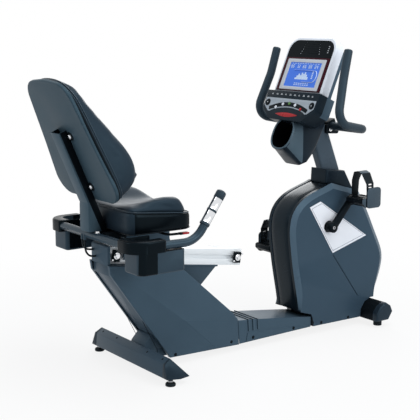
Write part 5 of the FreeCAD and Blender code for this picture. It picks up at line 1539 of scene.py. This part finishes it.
@dataclass
class Console:
    """Screen housing, keypad and keys, with the marks on them."""

    red_key: int = 1
    green_key: int = 3
    lens_out: float = 0.0015
    glass_out: float = 0.0010
    rear_out: float = 0.0660
    deck_out: float = 0.0180
    pad_out: float = 0.0195
    glass: tuple[float, float, float] = (0.105, 0.015, 0.131)
    frame_rim: tuple[float, float, float] = (0.129, 0.000, 0.147)
    border: tuple[float, float, float] = (0.1478, -0.0045, 0.1545)
    key_hole: float = 0.0078
    rim: float = 0.0004
    panel: tuple[Pair, ...] = ((0.170, -0.050), (0.168, -0.088), (0.134, -0.1135), (0.120, -0.1150))
    peaks: tuple[float, ...] = (0.008, 0.018, 0.027, 0.020, 0.032, 0.026, 0.035, 0.024, 0.013)
    side_step: float = -0.030
    digit: tuple[float, float, float] = (0.0084, 0.0160, 0.0026)

    def build(self) -> None:
        """Dress the console."""
        back = refined("console_back", HOUSING, 0.003, 3)
        step = FACE.at(0, 0, self.side_step)
        divide(back, step, FACE.out)
        paint(back, PANEL, lambda place, normal: (place - FACE.origin).dot(FACE.up) > 0 or (
            abs(normal.y) > 0.7 and abs(place.y) > 0.15 and (place - step).dot(FACE.out) < 0))
        refined("console_bezel", PALE, 0.003, 3)
        refined("console_fascia", LENS, 0.0)
        refined("display", LCD_GLASS, 0.0)
        for node in NODES:
            if node.startswith("key_level"):
                refined(node, BLACK_AND_PAINTED_SHADE, 0.0008)
            elif node.startswith("key_"):
                refined(node, {self.red_key: RED, self.green_key: GREEN}.get(int(node[-1]), PALE), 0.0008)
        self._screen()
        self._readings()
        self._keypad()
        self._rear_vents()

    def _flat(self, name: str, loop: Outline, low: float, high: float, finish: Finish,
              node: str, holes: Sequence[Outline] = ()) -> None:
        """Lay a thin plate on the face.

        Args:
            name: The piece's name.
            loop: Its outline, across and up the face.
            low: Its back, out of the face.
            high: Its front.
            finish: Its finish.
            node: The CAD node that it rides with.
            holes: Outlines cut through it.
        """
        mesh = plate_mesh(name, loop, FACE, low, high, min(self.rim, (high - low) / 3), holes)
        attach(new_piece(name, mesh, finish), node)

    def _screen(self) -> None:
        """The red border, the pale frame round the glass, the grille's mesh and the status lamps."""
        glass, rim, border = (frame_loop(*sizes) for sizes in (self.glass, self.frame_rim, self.border))
        out = self.lens_out
        self._flat("screen_border", rounded_loop(border, 0.004), out - 0.0004, out + 0.0004, MAROON,
                   "console_fascia", [rim])
        self._flat("screen_frame", rounded_loop(rim, 0.005), out - 0.0006, out + 0.0014, FRAME_SILVER,
                   "console_fascia", [rounded_loop(glass, 0.002)])
        self._flat("grille_mesh", [(-0.062, 0.166), (0.062, 0.166), (0.044, 0.232), (-0.044, 0.232)], 0.0001,
                   0.0006, BLACK_AND_PAINTED_SHADE, "console_fascia")
        lamps = repeated((0.112, 0.180, 0.120, 0.1825), 4, up=0.0095)
        mesh = tile_mesh("status_lamps", lamps, FACE, out - 0.0002, out + 0.0003)
        attach(new_piece("status_lamps", mesh, MARKS), "console_fascia")

    def _readings(self) -> None:
        """Pale bars, digits and an oval track on the blue glass."""
        tiles = repeated((-0.094, 0.1245, -0.0835, 0.1268), 11, across=0.0172)
        for number, across in (("05", -0.096), ("12", -0.056), ("60", -0.016), ("08", 0.024), ("24", 0.064)):
            for place, figure in enumerate(number):
                tiles += self._figure(figure, across + place * self.digit[0] * 1.5, 0.1035)
        for step, height in enumerate(self.peaks):
            across = -0.047 + 0.0098 * step
            tiles.append((across, 0.050, across + 0.0090, 0.050 + height))
        tiles += repeated((0.0605, 0.056, 0.0690, 0.0605), 5, up=0.0075)
        for low in (0.0225, 0.0300):
            tiles += repeated((-0.040, low, -0.030, low + 0.0034), 7, across=0.0145)
        mesh = tile_mesh("glass_marks", tiles, FACE, self.glass_out - 0.0001, self.glass_out + 0.0003)
        attach(new_piece("glass_marks", mesh, GLASS_MARKS), "display")
        turn = [(0.074 + 0.022 * math.sin(angle), 0.0665 + 0.0285 * math.cos(angle))
                for angle in (math.pi * step / 8 for step in range(9))]
        track = [(-0.062, 0.095), (0.010, 0.095)] + turn + [(0.040, 0.038), (0.006, 0.038)]
        line = [FACE.at(across, up, self.glass_out + 0.0001) for across, up in track]
        attach(bead("glass_track", line, 0.0034, GLASS_MARKS, squeeze=0.12), "display")

    def _figure(self, figure: str, across: float, up: float) -> list[Tile]:
        """Draw one seven-bar figure.

        Args:
            figure: The figure, 0 to 9.
            across: Its left edge.
            up: Its foot.

        Returns:
            A tile for each of its bars.
        """
        wide, high, bar = self.digit
        half = high / 2
        bars = {"a": (0, high - bar, wide, high), "b": (wide - bar, half, wide, high),
                "c": (wide - bar, 0, wide, half), "d": (0, 0, wide, bar), "e": (0, 0, bar, half),
                "f": (0, half, bar, high), "g": (0, half - bar / 2, wide, half + bar / 2)}
        return [(across + left, up + low, across + right, up + top)
                for left, low, right, top in (bars[name] for name in SEGMENTS[figure])]

    def _keypad(self) -> None:
        """The key panel with its keys' surrounds, the red plate under it and the printed strip above."""
        spots = [self._key_spot(f"key_{number}") for number in range(1, 6)]
        sides = {way: self._key_spot(f"key_level_{way}") for way in ("down", "up")}
        self._key_panel([*spots, *sides.values()])
        self._crescent(spots)
        for way, spot in sides.items():
            self._level_key(way, spot)
        self._red_plate()
        self._strip_marks()

    def _key_panel(self, spots: Sequence[Pair]) -> None:
        """The pale panel with an arched foot and a hole for each key.

        Args:
            spots: The middles of the keys.
        """
        low, high = self.deck_out, self.pad_out
        left = [(-across, up) for across, up in reversed(self.panel)]
        foot = arch(0.108, -0.1075, 0.0165, 12)
        holes = [ring_loop(spot, self.key_hole) for spot in spots]
        loop = [*self.panel, *reversed(foot), *left]
        panel = plate_mesh("keypad_panel", loop, FACE, low + 0.0001, high, self.rim, holes)
        stand_for(new_piece("keypad_finished", panel, SILVER), "keypad_panel")

    def _crescent(self, spots: Sequence[Pair]) -> None:
        """The dark crescent that the row of keys stands in.

        Args:
            spots: The middles of the keys.
        """
        upper, lower = arch(0.134, -0.093, 0.027, 20), arch(0.128, -0.1095, 0.0235, 20)
        loop = rounded_loop([*upper, *reversed(lower)], 0.003, 2)
        holes = [ring_loop(spot, self.key_hole) for spot in spots]
        self._flat("key_crescent", loop, self.pad_out - 0.0003, self.pad_out + 0.0006, BLACK_AND_PAINTED_SHADE, "keypad_panel",
                   holes)

    def _level_key(self, way: str, spot: Pair) -> None:
        """A dark ring round a level key, and the arrow on the key.

        Args:
            way: "up" or "down".
            spot: The key's middle.
        """
        across, up = spot
        high = self.pad_out
        self._flat(f"key_ring_{way}", ring_loop(spot, 0.0165), high - 0.0003, high + 0.0008, BLACK_AND_PAINTED_SHADE,
                   "keypad_panel", [ring_loop(spot, self.key_hole)])
        tip = 0.0040 if way == "up" else -0.0040
        arrow = [(across - 0.0042, up - tip * 0.5), (across + 0.0042, up - tip * 0.5), (across, up + tip)]
        self._flat(f"key_arrow_{way}", arrow, high + 0.0024, high + 0.0029, MARKS, f"key_level_{way}")

    def _red_plate(self) -> None:
        """The bare lens-shaped plate under the keys."""
        top, foot = arch(0.077, -0.1235, 0.0085, 20), arch(0.077, -0.1235, -0.0115, 20)
        self._flat("red_plate", [*top, *reversed(foot[1:-1])], self.deck_out - 0.0004, self.deck_out + 0.0010,
                   RED_PLATE, "console_back")

    def _strip_marks(self) -> None:
        """Two lines of plain bars along the strip between the screen and the key panel."""
        marks = []
        for step in range(10):
            across = -0.142 + 0.0303 * step
            wide = 0.0135 if step % 3 else 0.0095
            marks.append((across, -0.0335, across + wide, -0.0310))
            marks.append((across + 0.002, -0.0290, across + wide - 0.003, -0.0272))
        mesh = tile_mesh("strip_marks", marks, FACE, self.deck_out - 0.0002, self.deck_out + 0.0003)
        attach(new_piece("strip_marks", mesh, MARKS), "console_back")

    def _key_spot(self, node: str) -> Pair:
        """The middle of a key on the face, across and up."""
        offset = middle(node) - FACE.origin
        return offset.dot(FACE.across), offset.dot(FACE.up)

    def _rear_vents(self) -> None:
        """Cooling slots and screws in the back of the screen housing."""
        rear = leaning_plane(FACE.origin.x, FACE.origin.z, FACE_LEAN, forwards=True)
        profile = [(0, -0.050), (0.0016, -0.049), (0.0019, 0), (0.0016, 0.049), (0, 0.050)]
        bar = lathe_mesh("vent_bar", profile, Vector(), LEFTWARDS, 12)
        vents = row("rear_vents", bar, 8, rear.at(0, 0.080, self.rear_out - 0.0004), rear.up * 0.011, BLACK_AND_PAINTED_SHADE)
        attach(vents, "console_back")
        seats = [(rear.at(across, up, self.rear_out), rear.out) for across in (-0.140, 0.140)
                 for up in (0.012, 0.175)]
        attach(fasteners("rear_screws", socket_bolt(0.0045, 0.002), seats, STEEL), "console_back")


def arch(half: float, ends: float, rise: float, steps: int) -> list[Pair]:
    """A parabolic arch from left to right, even about the middle.

    Args:
        half: Half its width.
        ends: Height of its two ends.
        rise: How far its middle is above them.
        steps: Steps from end to end.

    Returns:
        Its points, across and up.
    """
    shares = [-1 + 2 * step / steps for step in range(steps + 1)]
    return [(half * share, ends + rise * (1 - share * share)) for share in shares]


def repeated(first: Tile, count: int, across: float = 0.0, up: float = 0.0) -> list[Tile]:
    """An even row of tiles.

    Args:
        first: The first tile.
        count: How many there are.
        across: Step from each to the next, across.
        up: The same step, upwards.

    Returns:
        The tiles in order.
    """
    left, low, right, high = first
    return [(left + across * step, low + up * step, right + across * step, high + up * step)
            for step in range(count)]


def frame_loop(half: float, low: float, high: float) -> list[Pair]:
    """The corners of an upright rectangle that is even about the middle."""
    return [(-half, low), (half, low), (half, high), (-half, high)]


def oval(wide: float, tall: float, power: float, sides: int = 56) -> list[Pair]:
    """An outline between an ellipse and a rectangle about the origin.

    Args:
        wide: Half its width.
        tall: Half its height.
        power: 2 for an ellipse, more for squarer corners.
        sides: Points round it.

    Returns:
        The outline, across and up.
    """
    loop = []
    for side in range(sides):
        across, up = (trig(2 * math.pi * side / sides) for trig in (math.cos, math.sin))
        loop.append((math.copysign(abs(across) ** (2 / power), across) * wide,
                     math.copysign(abs(up) ** (2 / power), up) * tall))
    return loop


def ring_loop(centre: Pair, radius: float, sides: int = 28) -> list[Pair]:
    """A round outline about a centre."""
    angles = [2 * math.pi * side / sides for side in range(sides)]
    return [(centre[0] + radius * math.cos(angle), centre[1] + radius * math.sin(angle)) for angle in angles]


def tile_mesh(name: str, tiles: Sequence[Tile], plane: Plane, low: float,
              high: float) -> Mesh:
    """Thin tiles that lie on a plane.

    Args:
        name: The mesh's name.
        tiles: Low and high corner of each, across and up.
        plane: The plane that they lie on.
        low: Their back, out of the plane.
        high: Their front.

    Returns:
        One mesh that holds them all.
    """
    def build(made: bmesh.types.BMesh) -> None:
        """Fill the mesh with a closed slab for each tile.

        Args:
            made: The mesh to fill.
        """
        for left, bottom, right, top in tiles:
            corners = [(left, bottom), (right, bottom), (right, top), (left, top)]
            back = [made.verts.new(plane.at(across, up, low)) for across, up in corners]
            front = [made.verts.new(plane.at(across, up, high)) for across, up in corners]
            made.faces.new(back)
            made.faces.new(front)
            for index in range(4):
                nxt = (index + 1) % 4
                made.faces.new((back[index], back[nxt], front[nxt], front[index]))

    return mesh_from(name, build, smooth=False)


# ------------------------------------------------------------------ seat
@dataclass
class SeatFrame:
    """Carriage, tube, grips, pockets, backrest bracket and lever."""

    grip_low: Point = (-0.3600, 0.3300, 0.6430)
    grip_high: Point = (-0.2733, 0.3300, 0.7667)
    grip_radius: float = 0.0205
    plates: tuple[Pair, Pair] = ((0.0122, 0.0610), (0.0700, 0.1188))
    plate_radius: float = 0.955
    plate_step: float = 0.0012
    under_pan_shade_line: float = 0.560
    cover_line: float = 0.563
    reflection_line: float = -0.588
    bracket_shade_line: tuple[Pair, Pair] = ((-0.729, 0.790), (-0.657, 0.626))
    lever_tip: float = -0.378

    def build(self) -> None:
        """Dress the seat's frame."""
        carriage = refined("seat_carriage", FRAME_PAINT, 0.0012)
        # Everything above this line, in the shade under the seat pan, is painted black as shade.
        paint(carriage, BLACK_AND_PAINTED_SHADE, lambda place, normal: place.z > self.under_pan_shade_line)
        refined("seat_handlebar", TUBE, 0.0)
        pockets = refined("side_pockets", TUB, 0.003, 3)
        # Faces above the cover line are the real glossy black cover; the tub's outer side behind the
        # reflection line is painted glossy black as a dark reflection round the corner.
        divide(pockets, Vector((self.reflection_line, 0, 0)), FORWARDS)
        paint(pockets, DARK_GLOSS_AND_PAINTED_REFLECTION, lambda place, normal: place.z > self.cover_line or (
            place.x < self.reflection_line and normal.x > -0.9 and normal.y * place.y > 0))
        bracket = refined("backrest_bracket", BRACKET, 0.0015)
        # The bracket's side ahead of the shade line is painted black as shade; behind it, the side keeps the
        # bracket colour.
        top, foot = (Vector((x, 0, z)) for x, z in self.bracket_shade_line)
        into_shade = Vector((top.z - foot.z, 0, foot.x - top.x)).normalized()
        divide(bracket, top, into_shade)
        paint(bracket, BLACK_AND_PAINTED_SHADE, lambda place, normal: (place - top).dot(into_shade) > 0 and abs(normal.y) > 0.6)
        lever = refined("adjust_lever", BLACK_AND_PAINTED_SHADE, 0.001)
        divide(lever, Vector((self.lever_tip, 0, 0)), FORWARDS)
        paint(lever, RED, lambda place, normal: place.x > self.lever_tip)
        for node in ("rollers_front", "rollers_rear"):
            refined(node, RUBBER, 0.001)
        self._grips()
        self._bracket_bolts()

    def _grips(self) -> None:
        """Two sleeves with a pair of chrome contact plates between dark dividers on each."""
        low, high = Vector(self.grip_low), Vector(self.grip_high)
        length = (high - low).length
        r, sunk = self.grip_radius, self.grip_radius * self.plate_radius
        profile = [(0, 0), (r * 0.90, 0), (r, 0.002)]
        for start, end in self.plates:
            profile += [(r, start - self.plate_step), (sunk, start), (sunk, end), (r, end + self.plate_step)]
        profile += [(r, length - 0.006), (r * 0.93, length - 0.001), (r * 0.60, length + 0.0035),
                    (0, length + 0.0045)]
        sleeves = [lathe_mesh("grip", profile, Vector((low.x, side * low.y, low.z)), high - low, 48)
                   for side, _ in SIDES]
        grips = new_piece("grips_finished", merged("grips", sleeves), FOAM)
        paint(grips, CHROME, self._on_plate)
        stand_for(grips, "pulse_grips")

    def _on_plate(self, place: Vector, normal: Vector) -> bool:
        """Say whether a face lies on a contact plate, between the two dark strips along the grip.

        Args:
            place: The face's middle.
            normal: Its normal.

        Returns:
            True if it does.
        """
        low, high = Vector(self.grip_low), Vector(self.grip_high)
        share = (place - Vector((low.x, place.y, low.z))).dot((high - low).normalized())
        outwards = abs(normal.y) > 0.30
        return outwards and any(start + 0.0001 < share < end - 0.0001 for start, end in self.plates)

    def _bracket_bolts(self) -> None:
        """Chrome bolts on dark washers, beside the channel, into the backrest's shell."""
        seats = [(BACK.at(side * 0.049, up, -0.0008), -BACK.out)
                 for up in (0.262, 0.042) for side, _ in SIDES]
        profile = [(0, -0.001), (0.0185, -0.001), (0.0185, 0.0012), (0.0170, 0.0022), (0, 0.0022)]
        disc = lathe_mesh("disc", profile, Vector(), UPWARDS, 32)
        attach(fasteners("bracket_washers", disc, seats, BLACK_AND_PAINTED_SHADE), "backrest_bracket")
        raised = [(place + way * 0.0022, way) for place, way in seats]
        bolts = fasteners("bracket_bolts", socket_bolt(0.0098, 0.0075), raised, CHROME)
        attach(bolts, "backrest_bracket")
        foot = [(Vector((-0.676, side * 0.052, 0.6045)), UPWARDS) for side, _ in SIDES]
        attach(fasteners("foot_bolts", hex_bolt(0.0075, 0.006), foot, CHROME), "seat_carriage")


def interpolate(value: float, table: Outline) -> float:
    """Read a smooth value between the rows of a short table of sizes.

    Args:
        value: Where to read.
        table: Position and size, in rising order.

    Returns:
        The size there, eased between the rows.
    """
    if value <= table[0][0]:
        return table[0][1]
    slopes = [(after[1] - before[1]) / (after[0] - before[0])
              for before, after in zip([table[0], *table[:-1]], [*table[1:], table[-1]])]
    for index, ((x0, y0), (x1, y1)) in enumerate(zip(table, table[1:])):
        if value <= x1:
            span = x1 - x0
            t = (value - x0) / span  # the four terms are a cubic with the two sizes and slopes at its ends
            return ((1 + 2 * t) * (1 - t) ** 2 * y0 + t * (1 - t) ** 2 * span * slopes[index]
                    + t * t * (3 - 2 * t) * y1 + t * t * (t - 1) * span * slopes[index + 1])
    return table[-1][1]


@dataclass
class Padding:
    """How a pad is made soft: remeshed, blown up a little as cloth and capped."""

    voxel: float = 0.006
    pressure: float = 4.0
    cap: float = 0.005
    frames: int = 20
    quality: int = 6
    mass: float = 0.3
    stretch_stiffness: float = 30
    bending_stiffness: float = 2.0
    smoothing: int = 4
    relaxing: int = 12

    def swell(self, piece: Object) -> None:
        """Remesh a closed form and blow it up.

        Args:
            piece: The pad, a closed mesh slightly smaller than it will be.
        """
        remesh = piece.modifiers.new("remesh", "REMESH")
        remesh.mode = "VOXEL"
        remesh.voxel_size = self.voxel
        baked(piece)
        self._smooth(piece, self.smoothing)
        self._blow_up(piece)
        self._smooth(piece, self.relaxing)
        refine = piece.modifiers.new("refine", "SUBSURF")
        refine.levels = refine.render_levels = 1
        baked(piece)
        for face in piece.data.polygons:
            face.use_smooth = True

    def _smooth(self, piece: Object, rounds: int) -> None:
        """Even out a pad's surface.

        Args:
            piece: The pad.
            rounds: How many times its points move towards their neighbours.
        """
        smooth = piece.modifiers.new("smooth", "SMOOTH")
        smooth.iterations = rounds
        baked(piece)

    def _blow_up(self, piece: Object) -> None:
        """Run the cloth and keep each point within the cap.

        Args:
            piece: The pad.
        """
        before = positions(piece.data)
        cloth = piece.modifiers.new("cloth", "CLOTH")
        settings = cloth.settings
        settings.quality = self.quality
        settings.mass = self.mass
        settings.tension_stiffness = settings.compression_stiffness = self.stretch_stiffness
        settings.bending_stiffness = self.bending_stiffness
        settings.use_pressure = True
        settings.uniform_pressure_force = self.pressure
        settings.effector_weights.gravity = 0.0
        cloth.point_cache.frame_start = 1
        cloth.point_cache.frame_end = self.frames
        scene = bpy.context.scene
        for step in range(1, self.frames + 1):
            scene.frame_set(step)
        after = positions(piece.evaluated_get(bpy.context.evaluated_depsgraph_get()).data)
        piece.modifiers.clear()
        scene.frame_set(1)
        shift = after - before
        length = np.linalg.norm(shift, axis=1)
        scale = np.where(length > self.cap, self.cap / np.maximum(length, 1e-9), 1.0)
        piece.data.vertices.foreach_set("co", (before + shift * scale[:, None]).ravel())
        piece.data.update()
        log.info("%s moved up to %.1f mm", piece.name, 1000 * float((length * scale).max()))


def positions(mesh: Mesh) -> np.ndarray:
    """Read the places of a mesh's points.

    Args:
        mesh: The mesh.

    Returns:
        One row of x, y and z for each point.
    """
    places = np.empty(len(mesh.vertices) * 3)
    mesh.vertices.foreach_get("co", places)
    return places.reshape(-1, 3)


@dataclass
class BackPad:
    """Backrest shell and its tall cushion, thickest at the small of the back."""

    low: float = -0.018
    high: float = 0.486
    depth: tuple[Pair, ...] = (
        (-0.018, 0.066), (0.026, 0.105), (0.086, 0.124), (0.150, 0.119), (0.235, 0.095),
        (0.316, 0.070), (0.400, 0.048), (0.486, 0.036),
    )
    half: tuple[Pair, ...] = (
        (-0.018, 0.176), (0.010, 0.208), (0.060, 0.219), (0.220, 0.196), (0.380, 0.168), (0.440, 0.142),
        (0.482, 0.070),
    )
    rows: int = 40
    end_rows: int = 4
    sides: int = 36
    edge_inset: float = 0.004
    dish: float = 0.016
    shell_thick: float = 0.014
    piping: tuple[float, float, Finish] = (0.0165, 0.0052, BLACK_AND_PAINTED_SHADE)
    welts: tuple[tuple[float, float, Finish], ...] = ((0.0240, 0.0030, WELT), (0.0315, 0.0030, WELT))
    padding: Padding = field(default_factory=Padding)

    def build(self) -> None:
        """Make the shell, the cushion and its piping."""
        refined("back_shell", SHELL, 0.004, 3)
        piece = new_piece("back_pad", self._form(), VINYL)
        self.padding.swell(piece)
        stand_for(piece, "back_cushion")
        for index, (depth, radius, finish) in enumerate((self.piping, *self.welts)):
            ring = [BACK.at(y, h, depth) for y, h in self._rim(0.0035 - 0.0010 * index)]
            attach(bead(f"back_welt_{index}", ring, radius, finish, cyclic=True), "back_cushion")

    def _rim(self, grow: float) -> list[Pair]:
        """Work out the cushion's outline seen from the front.

        Args:
            grow: How far outside the cushion it runs.

        Returns:
            The outline, across and up the backrest.
        """
        steps = 14
        rows = [self.low + (self.high - self.low) * step / steps for step in range(steps + 1)]
        right = [(interpolate(h, self.half) + grow, h) for h in rows]
        left = [(-y, h) for y, h in reversed(right)]
        return right + left

    def _form(self) -> Mesh:
        """Make the closed form before it is blown up.

        Returns:
            Its mesh, dished along the middle and rounded at both ends.
        """
        rings = []
        for step in range(self.rows + 1):
            h = self.low + (self.high - self.low) * step / self.rows
            end = min(1.0, min(step, self.rows - step) / self.end_rows)
            half = interpolate(h, self.half) - self.edge_inset
            full = interpolate(h, self.depth) * (0.55 + 0.45 * math.sin(end * math.pi / 2))
            ring = []
            for side in range(self.sides + 1):
                v = -1 + 2 * side / self.sides
                crown = (1 - abs(v) ** 12) ** 0.385
                dish = self.dish * (1 - v * v) ** 1.5 * min(1.0, full / 0.08)
                thick = max(0.010, (full + 0.006 - dish) * crown)
                ring.append(BACK.at(v * half, h, self.shell_thick + 0.003 + thick))
            ring += [BACK.at(v * half, h, self.shell_thick + 0.002) for v in (0.96, 0.5, 0, -0.5, -0.96)]
            rings.append(ring)
        return loft_mesh("back_pad", rings)


@dataclass
class SeatPad:
    """Glossy seat pan, which falls towards the front, and the contoured cushion on it."""

    back: float = -0.624
    front: float = -0.334
    bow: float = 0.022
    half: float = 0.215
    corner: float = 0.045
    base: float = 0.6065
    seam_back: float = 0.699
    seam_fall: float = 0.098
    pan_wall: tuple[Pair, ...] = (
        (0.030, 0.0), (0.012, 0.004), (0.005, 0.03), (0.002, 0.10), (0.0, 0.30), (0.0, 0.80), (0.0015, 0.94),
        (0.005, 0.985), (0.012, 1.0),
    )
    cushion_inset: float = 0.006
    rows: int = 40
    sides: int = 40
    padding: Padding = field(default_factory=lambda: Padding(cap=0.004))

    def build(self) -> None:
        """Make the pan and the cushion."""
        pan = new_piece("seat_pan_finished", self._pan(), DARK_GLOSS_AND_PAINTED_REFLECTION)
        sharpen(pan.data, 50)
        # Faces turned to the rear take the lighter slate colour as a painted highlight on the glossy pan.
        paint(pan, CAP_AND_PAN_HIGHLIGHT, lambda place, normal: normal.x < -0.4)
        stand_for(pan, "seat_pan")
        rim = [Vector((x, y, self.base + 0.0065)) for x, y in self._outline(-0.0005)]
        attach(bead("seat_pan_rim", rim, 0.0016, DARK_GLOSS_AND_PAINTED_REFLECTION, cyclic=True), "seat_pan")
        piece = new_piece("seat_pad", self._form(), VINYL)
        self.padding.swell(piece)
        stand_for(piece, "seat_cushion")
        seam = [Vector((x, y, self._seam(x) + 0.0022)) for x, y in self._outline(0.0035)]
        attach(bead("seat_welt", seam, 0.0022, WELT, cyclic=True), "seat_cushion")

    def _seam(self, x: float) -> float:
        """Height of the joint between pan and cushion."""
        return self.seam_back - self.seam_fall * (x - self.back)

    def _outline(self, inset: float) -> list[Pair]:
        """Work out the pan's outline from above, with its bowed front.

        Args:
            inset: How far inside the pan's edge it runs.

        Returns:
            The outline, x and y, in short steps.
        """
        half, back, front = self.half - inset, self.back + inset, self.front - inset
        corners = [(back, -half), (front, -half), (front, half), (back, half)]
        loop = rounded_loop(corners, max(0.01, self.corner - inset), 10)
        dense: list[Pair] = []
        for (x0, y0), (x1, y1) in zip(loop, loop[1:] + loop[:1]):
            count = max(1, round(math.dist((x0, y0), (x1, y1)) / 0.02))
            dense += [(x0 + (x1 - x0) * step / count, y0 + (y1 - y0) * step / count) for step in range(count)]
        reach = half * half
        return [(x + self.bow * max(0.0, 1 - y * y / reach) * max(0.0, (x - back) / (front - back)) ** 3, y)
                for x, y in dense]

    def _pan(self) -> Mesh:
        """Make the pan: rounded below, with nearly upright sides and a narrow lip.

        Returns:
            Its mesh.
        """
        plan = self._outline(0.0)
        middle_x = (self.back + self.front) / 2
        rings = []
        for inset, share in self.pan_wall:
            ring = []
            for x, y in plan:
                spot = Vector((x - middle_x, y))
                spot *= 1 - inset / spot.length
                x_in = middle_x + spot.x
                ring.append(Vector((x_in, spot.y, self.base + (self._seam(x_in) - self.base) * share)))
            rings.append(ring)
        return loft_mesh("seat_pan", rings)

    def _height(self, along: float, across: float) -> float:
        """Work out the height of the cushion's top, with bolsters that rise towards the front corners.

        Args:
            along: 0 at the rear, 1 at the front.
            across: -1 to 1 from side to side.

        Returns:
            The height above the floor.
        """
        floor = 0.707 - 0.014 * along
        rise = min(1.0, along / 0.68)
        lift = 0.010 + 0.036 * rise * rise * (3 - 2 * rise)
        side = min(1.0, max(0.0, (abs(across) - 0.22) / 0.66))
        return floor + lift * side * side * (3 - 2 * side)

    def _form(self) -> Mesh:
        """Make the closed form before it is blown up.

        Returns:
            Its mesh, which narrows towards the front corners.
        """
        rings = []
        inner = self.half - self.cushion_inset
        for step in range(self.rows + 1):
            u = step / self.rows
            corner = max(0.0, (u - 0.84) / 0.16)
            rear = max(0.0, (0.10 - u) / 0.10)
            half = inner * (1 - 0.15 * corner ** 2.2 - 0.06 * rear ** 2)
            ring, low_side = [], []
            for side in range(self.sides + 1):
                v = -1 + 2 * side / self.sides
                x = self.back + self.cushion_inset + (self.front - self.back - 0.012) * u
                x += (self.bow + 0.004) * (1 - v * v) * u ** 3
                seam = self._seam(x)
                ends = min(1.0, u / 0.07, (1 - u) / (0.10 + 0.20 * v * v))
                rim = (1 - abs(v) ** 14) ** 0.5 * math.sin(ends * math.pi / 2) ** 0.7
                top = seam + 0.006 + max(0.002, self._height(u, v) - seam - 0.008) * rim
                ring.append(Vector((x, v * half, top)))
                low_side.append(Vector((x, v * half, seam + 0.0005)))
            rings.append(ring + [low_side[index] for index in (39, 32, 20, 8, 1)])
        return loft_mesh("seat_pad", rings)


# ------------------------------------------------------------------ main
def main() -> None:
    """Make the studio and the bike's finishes and pieces in order."""
    logging.basicConfig(level=logging.INFO, format="%(name)s: %(message)s")
    studio = Studio()
    studio.place_camera()
    SensorCables().build()
    for part in (Undercarriage(), SlideRail(), DriveHousing(), MastUnit(), Console(), SeatFrame(), BackPad(),
                 SeatPad()):
        part.build()
        log.info("%s built", type(part).__name__)
    studio.light()
    studio.lay_floor()
    bpy.context.scene.view_settings.view_transform = "Standard"


if __name__ == "__main__":
    main()
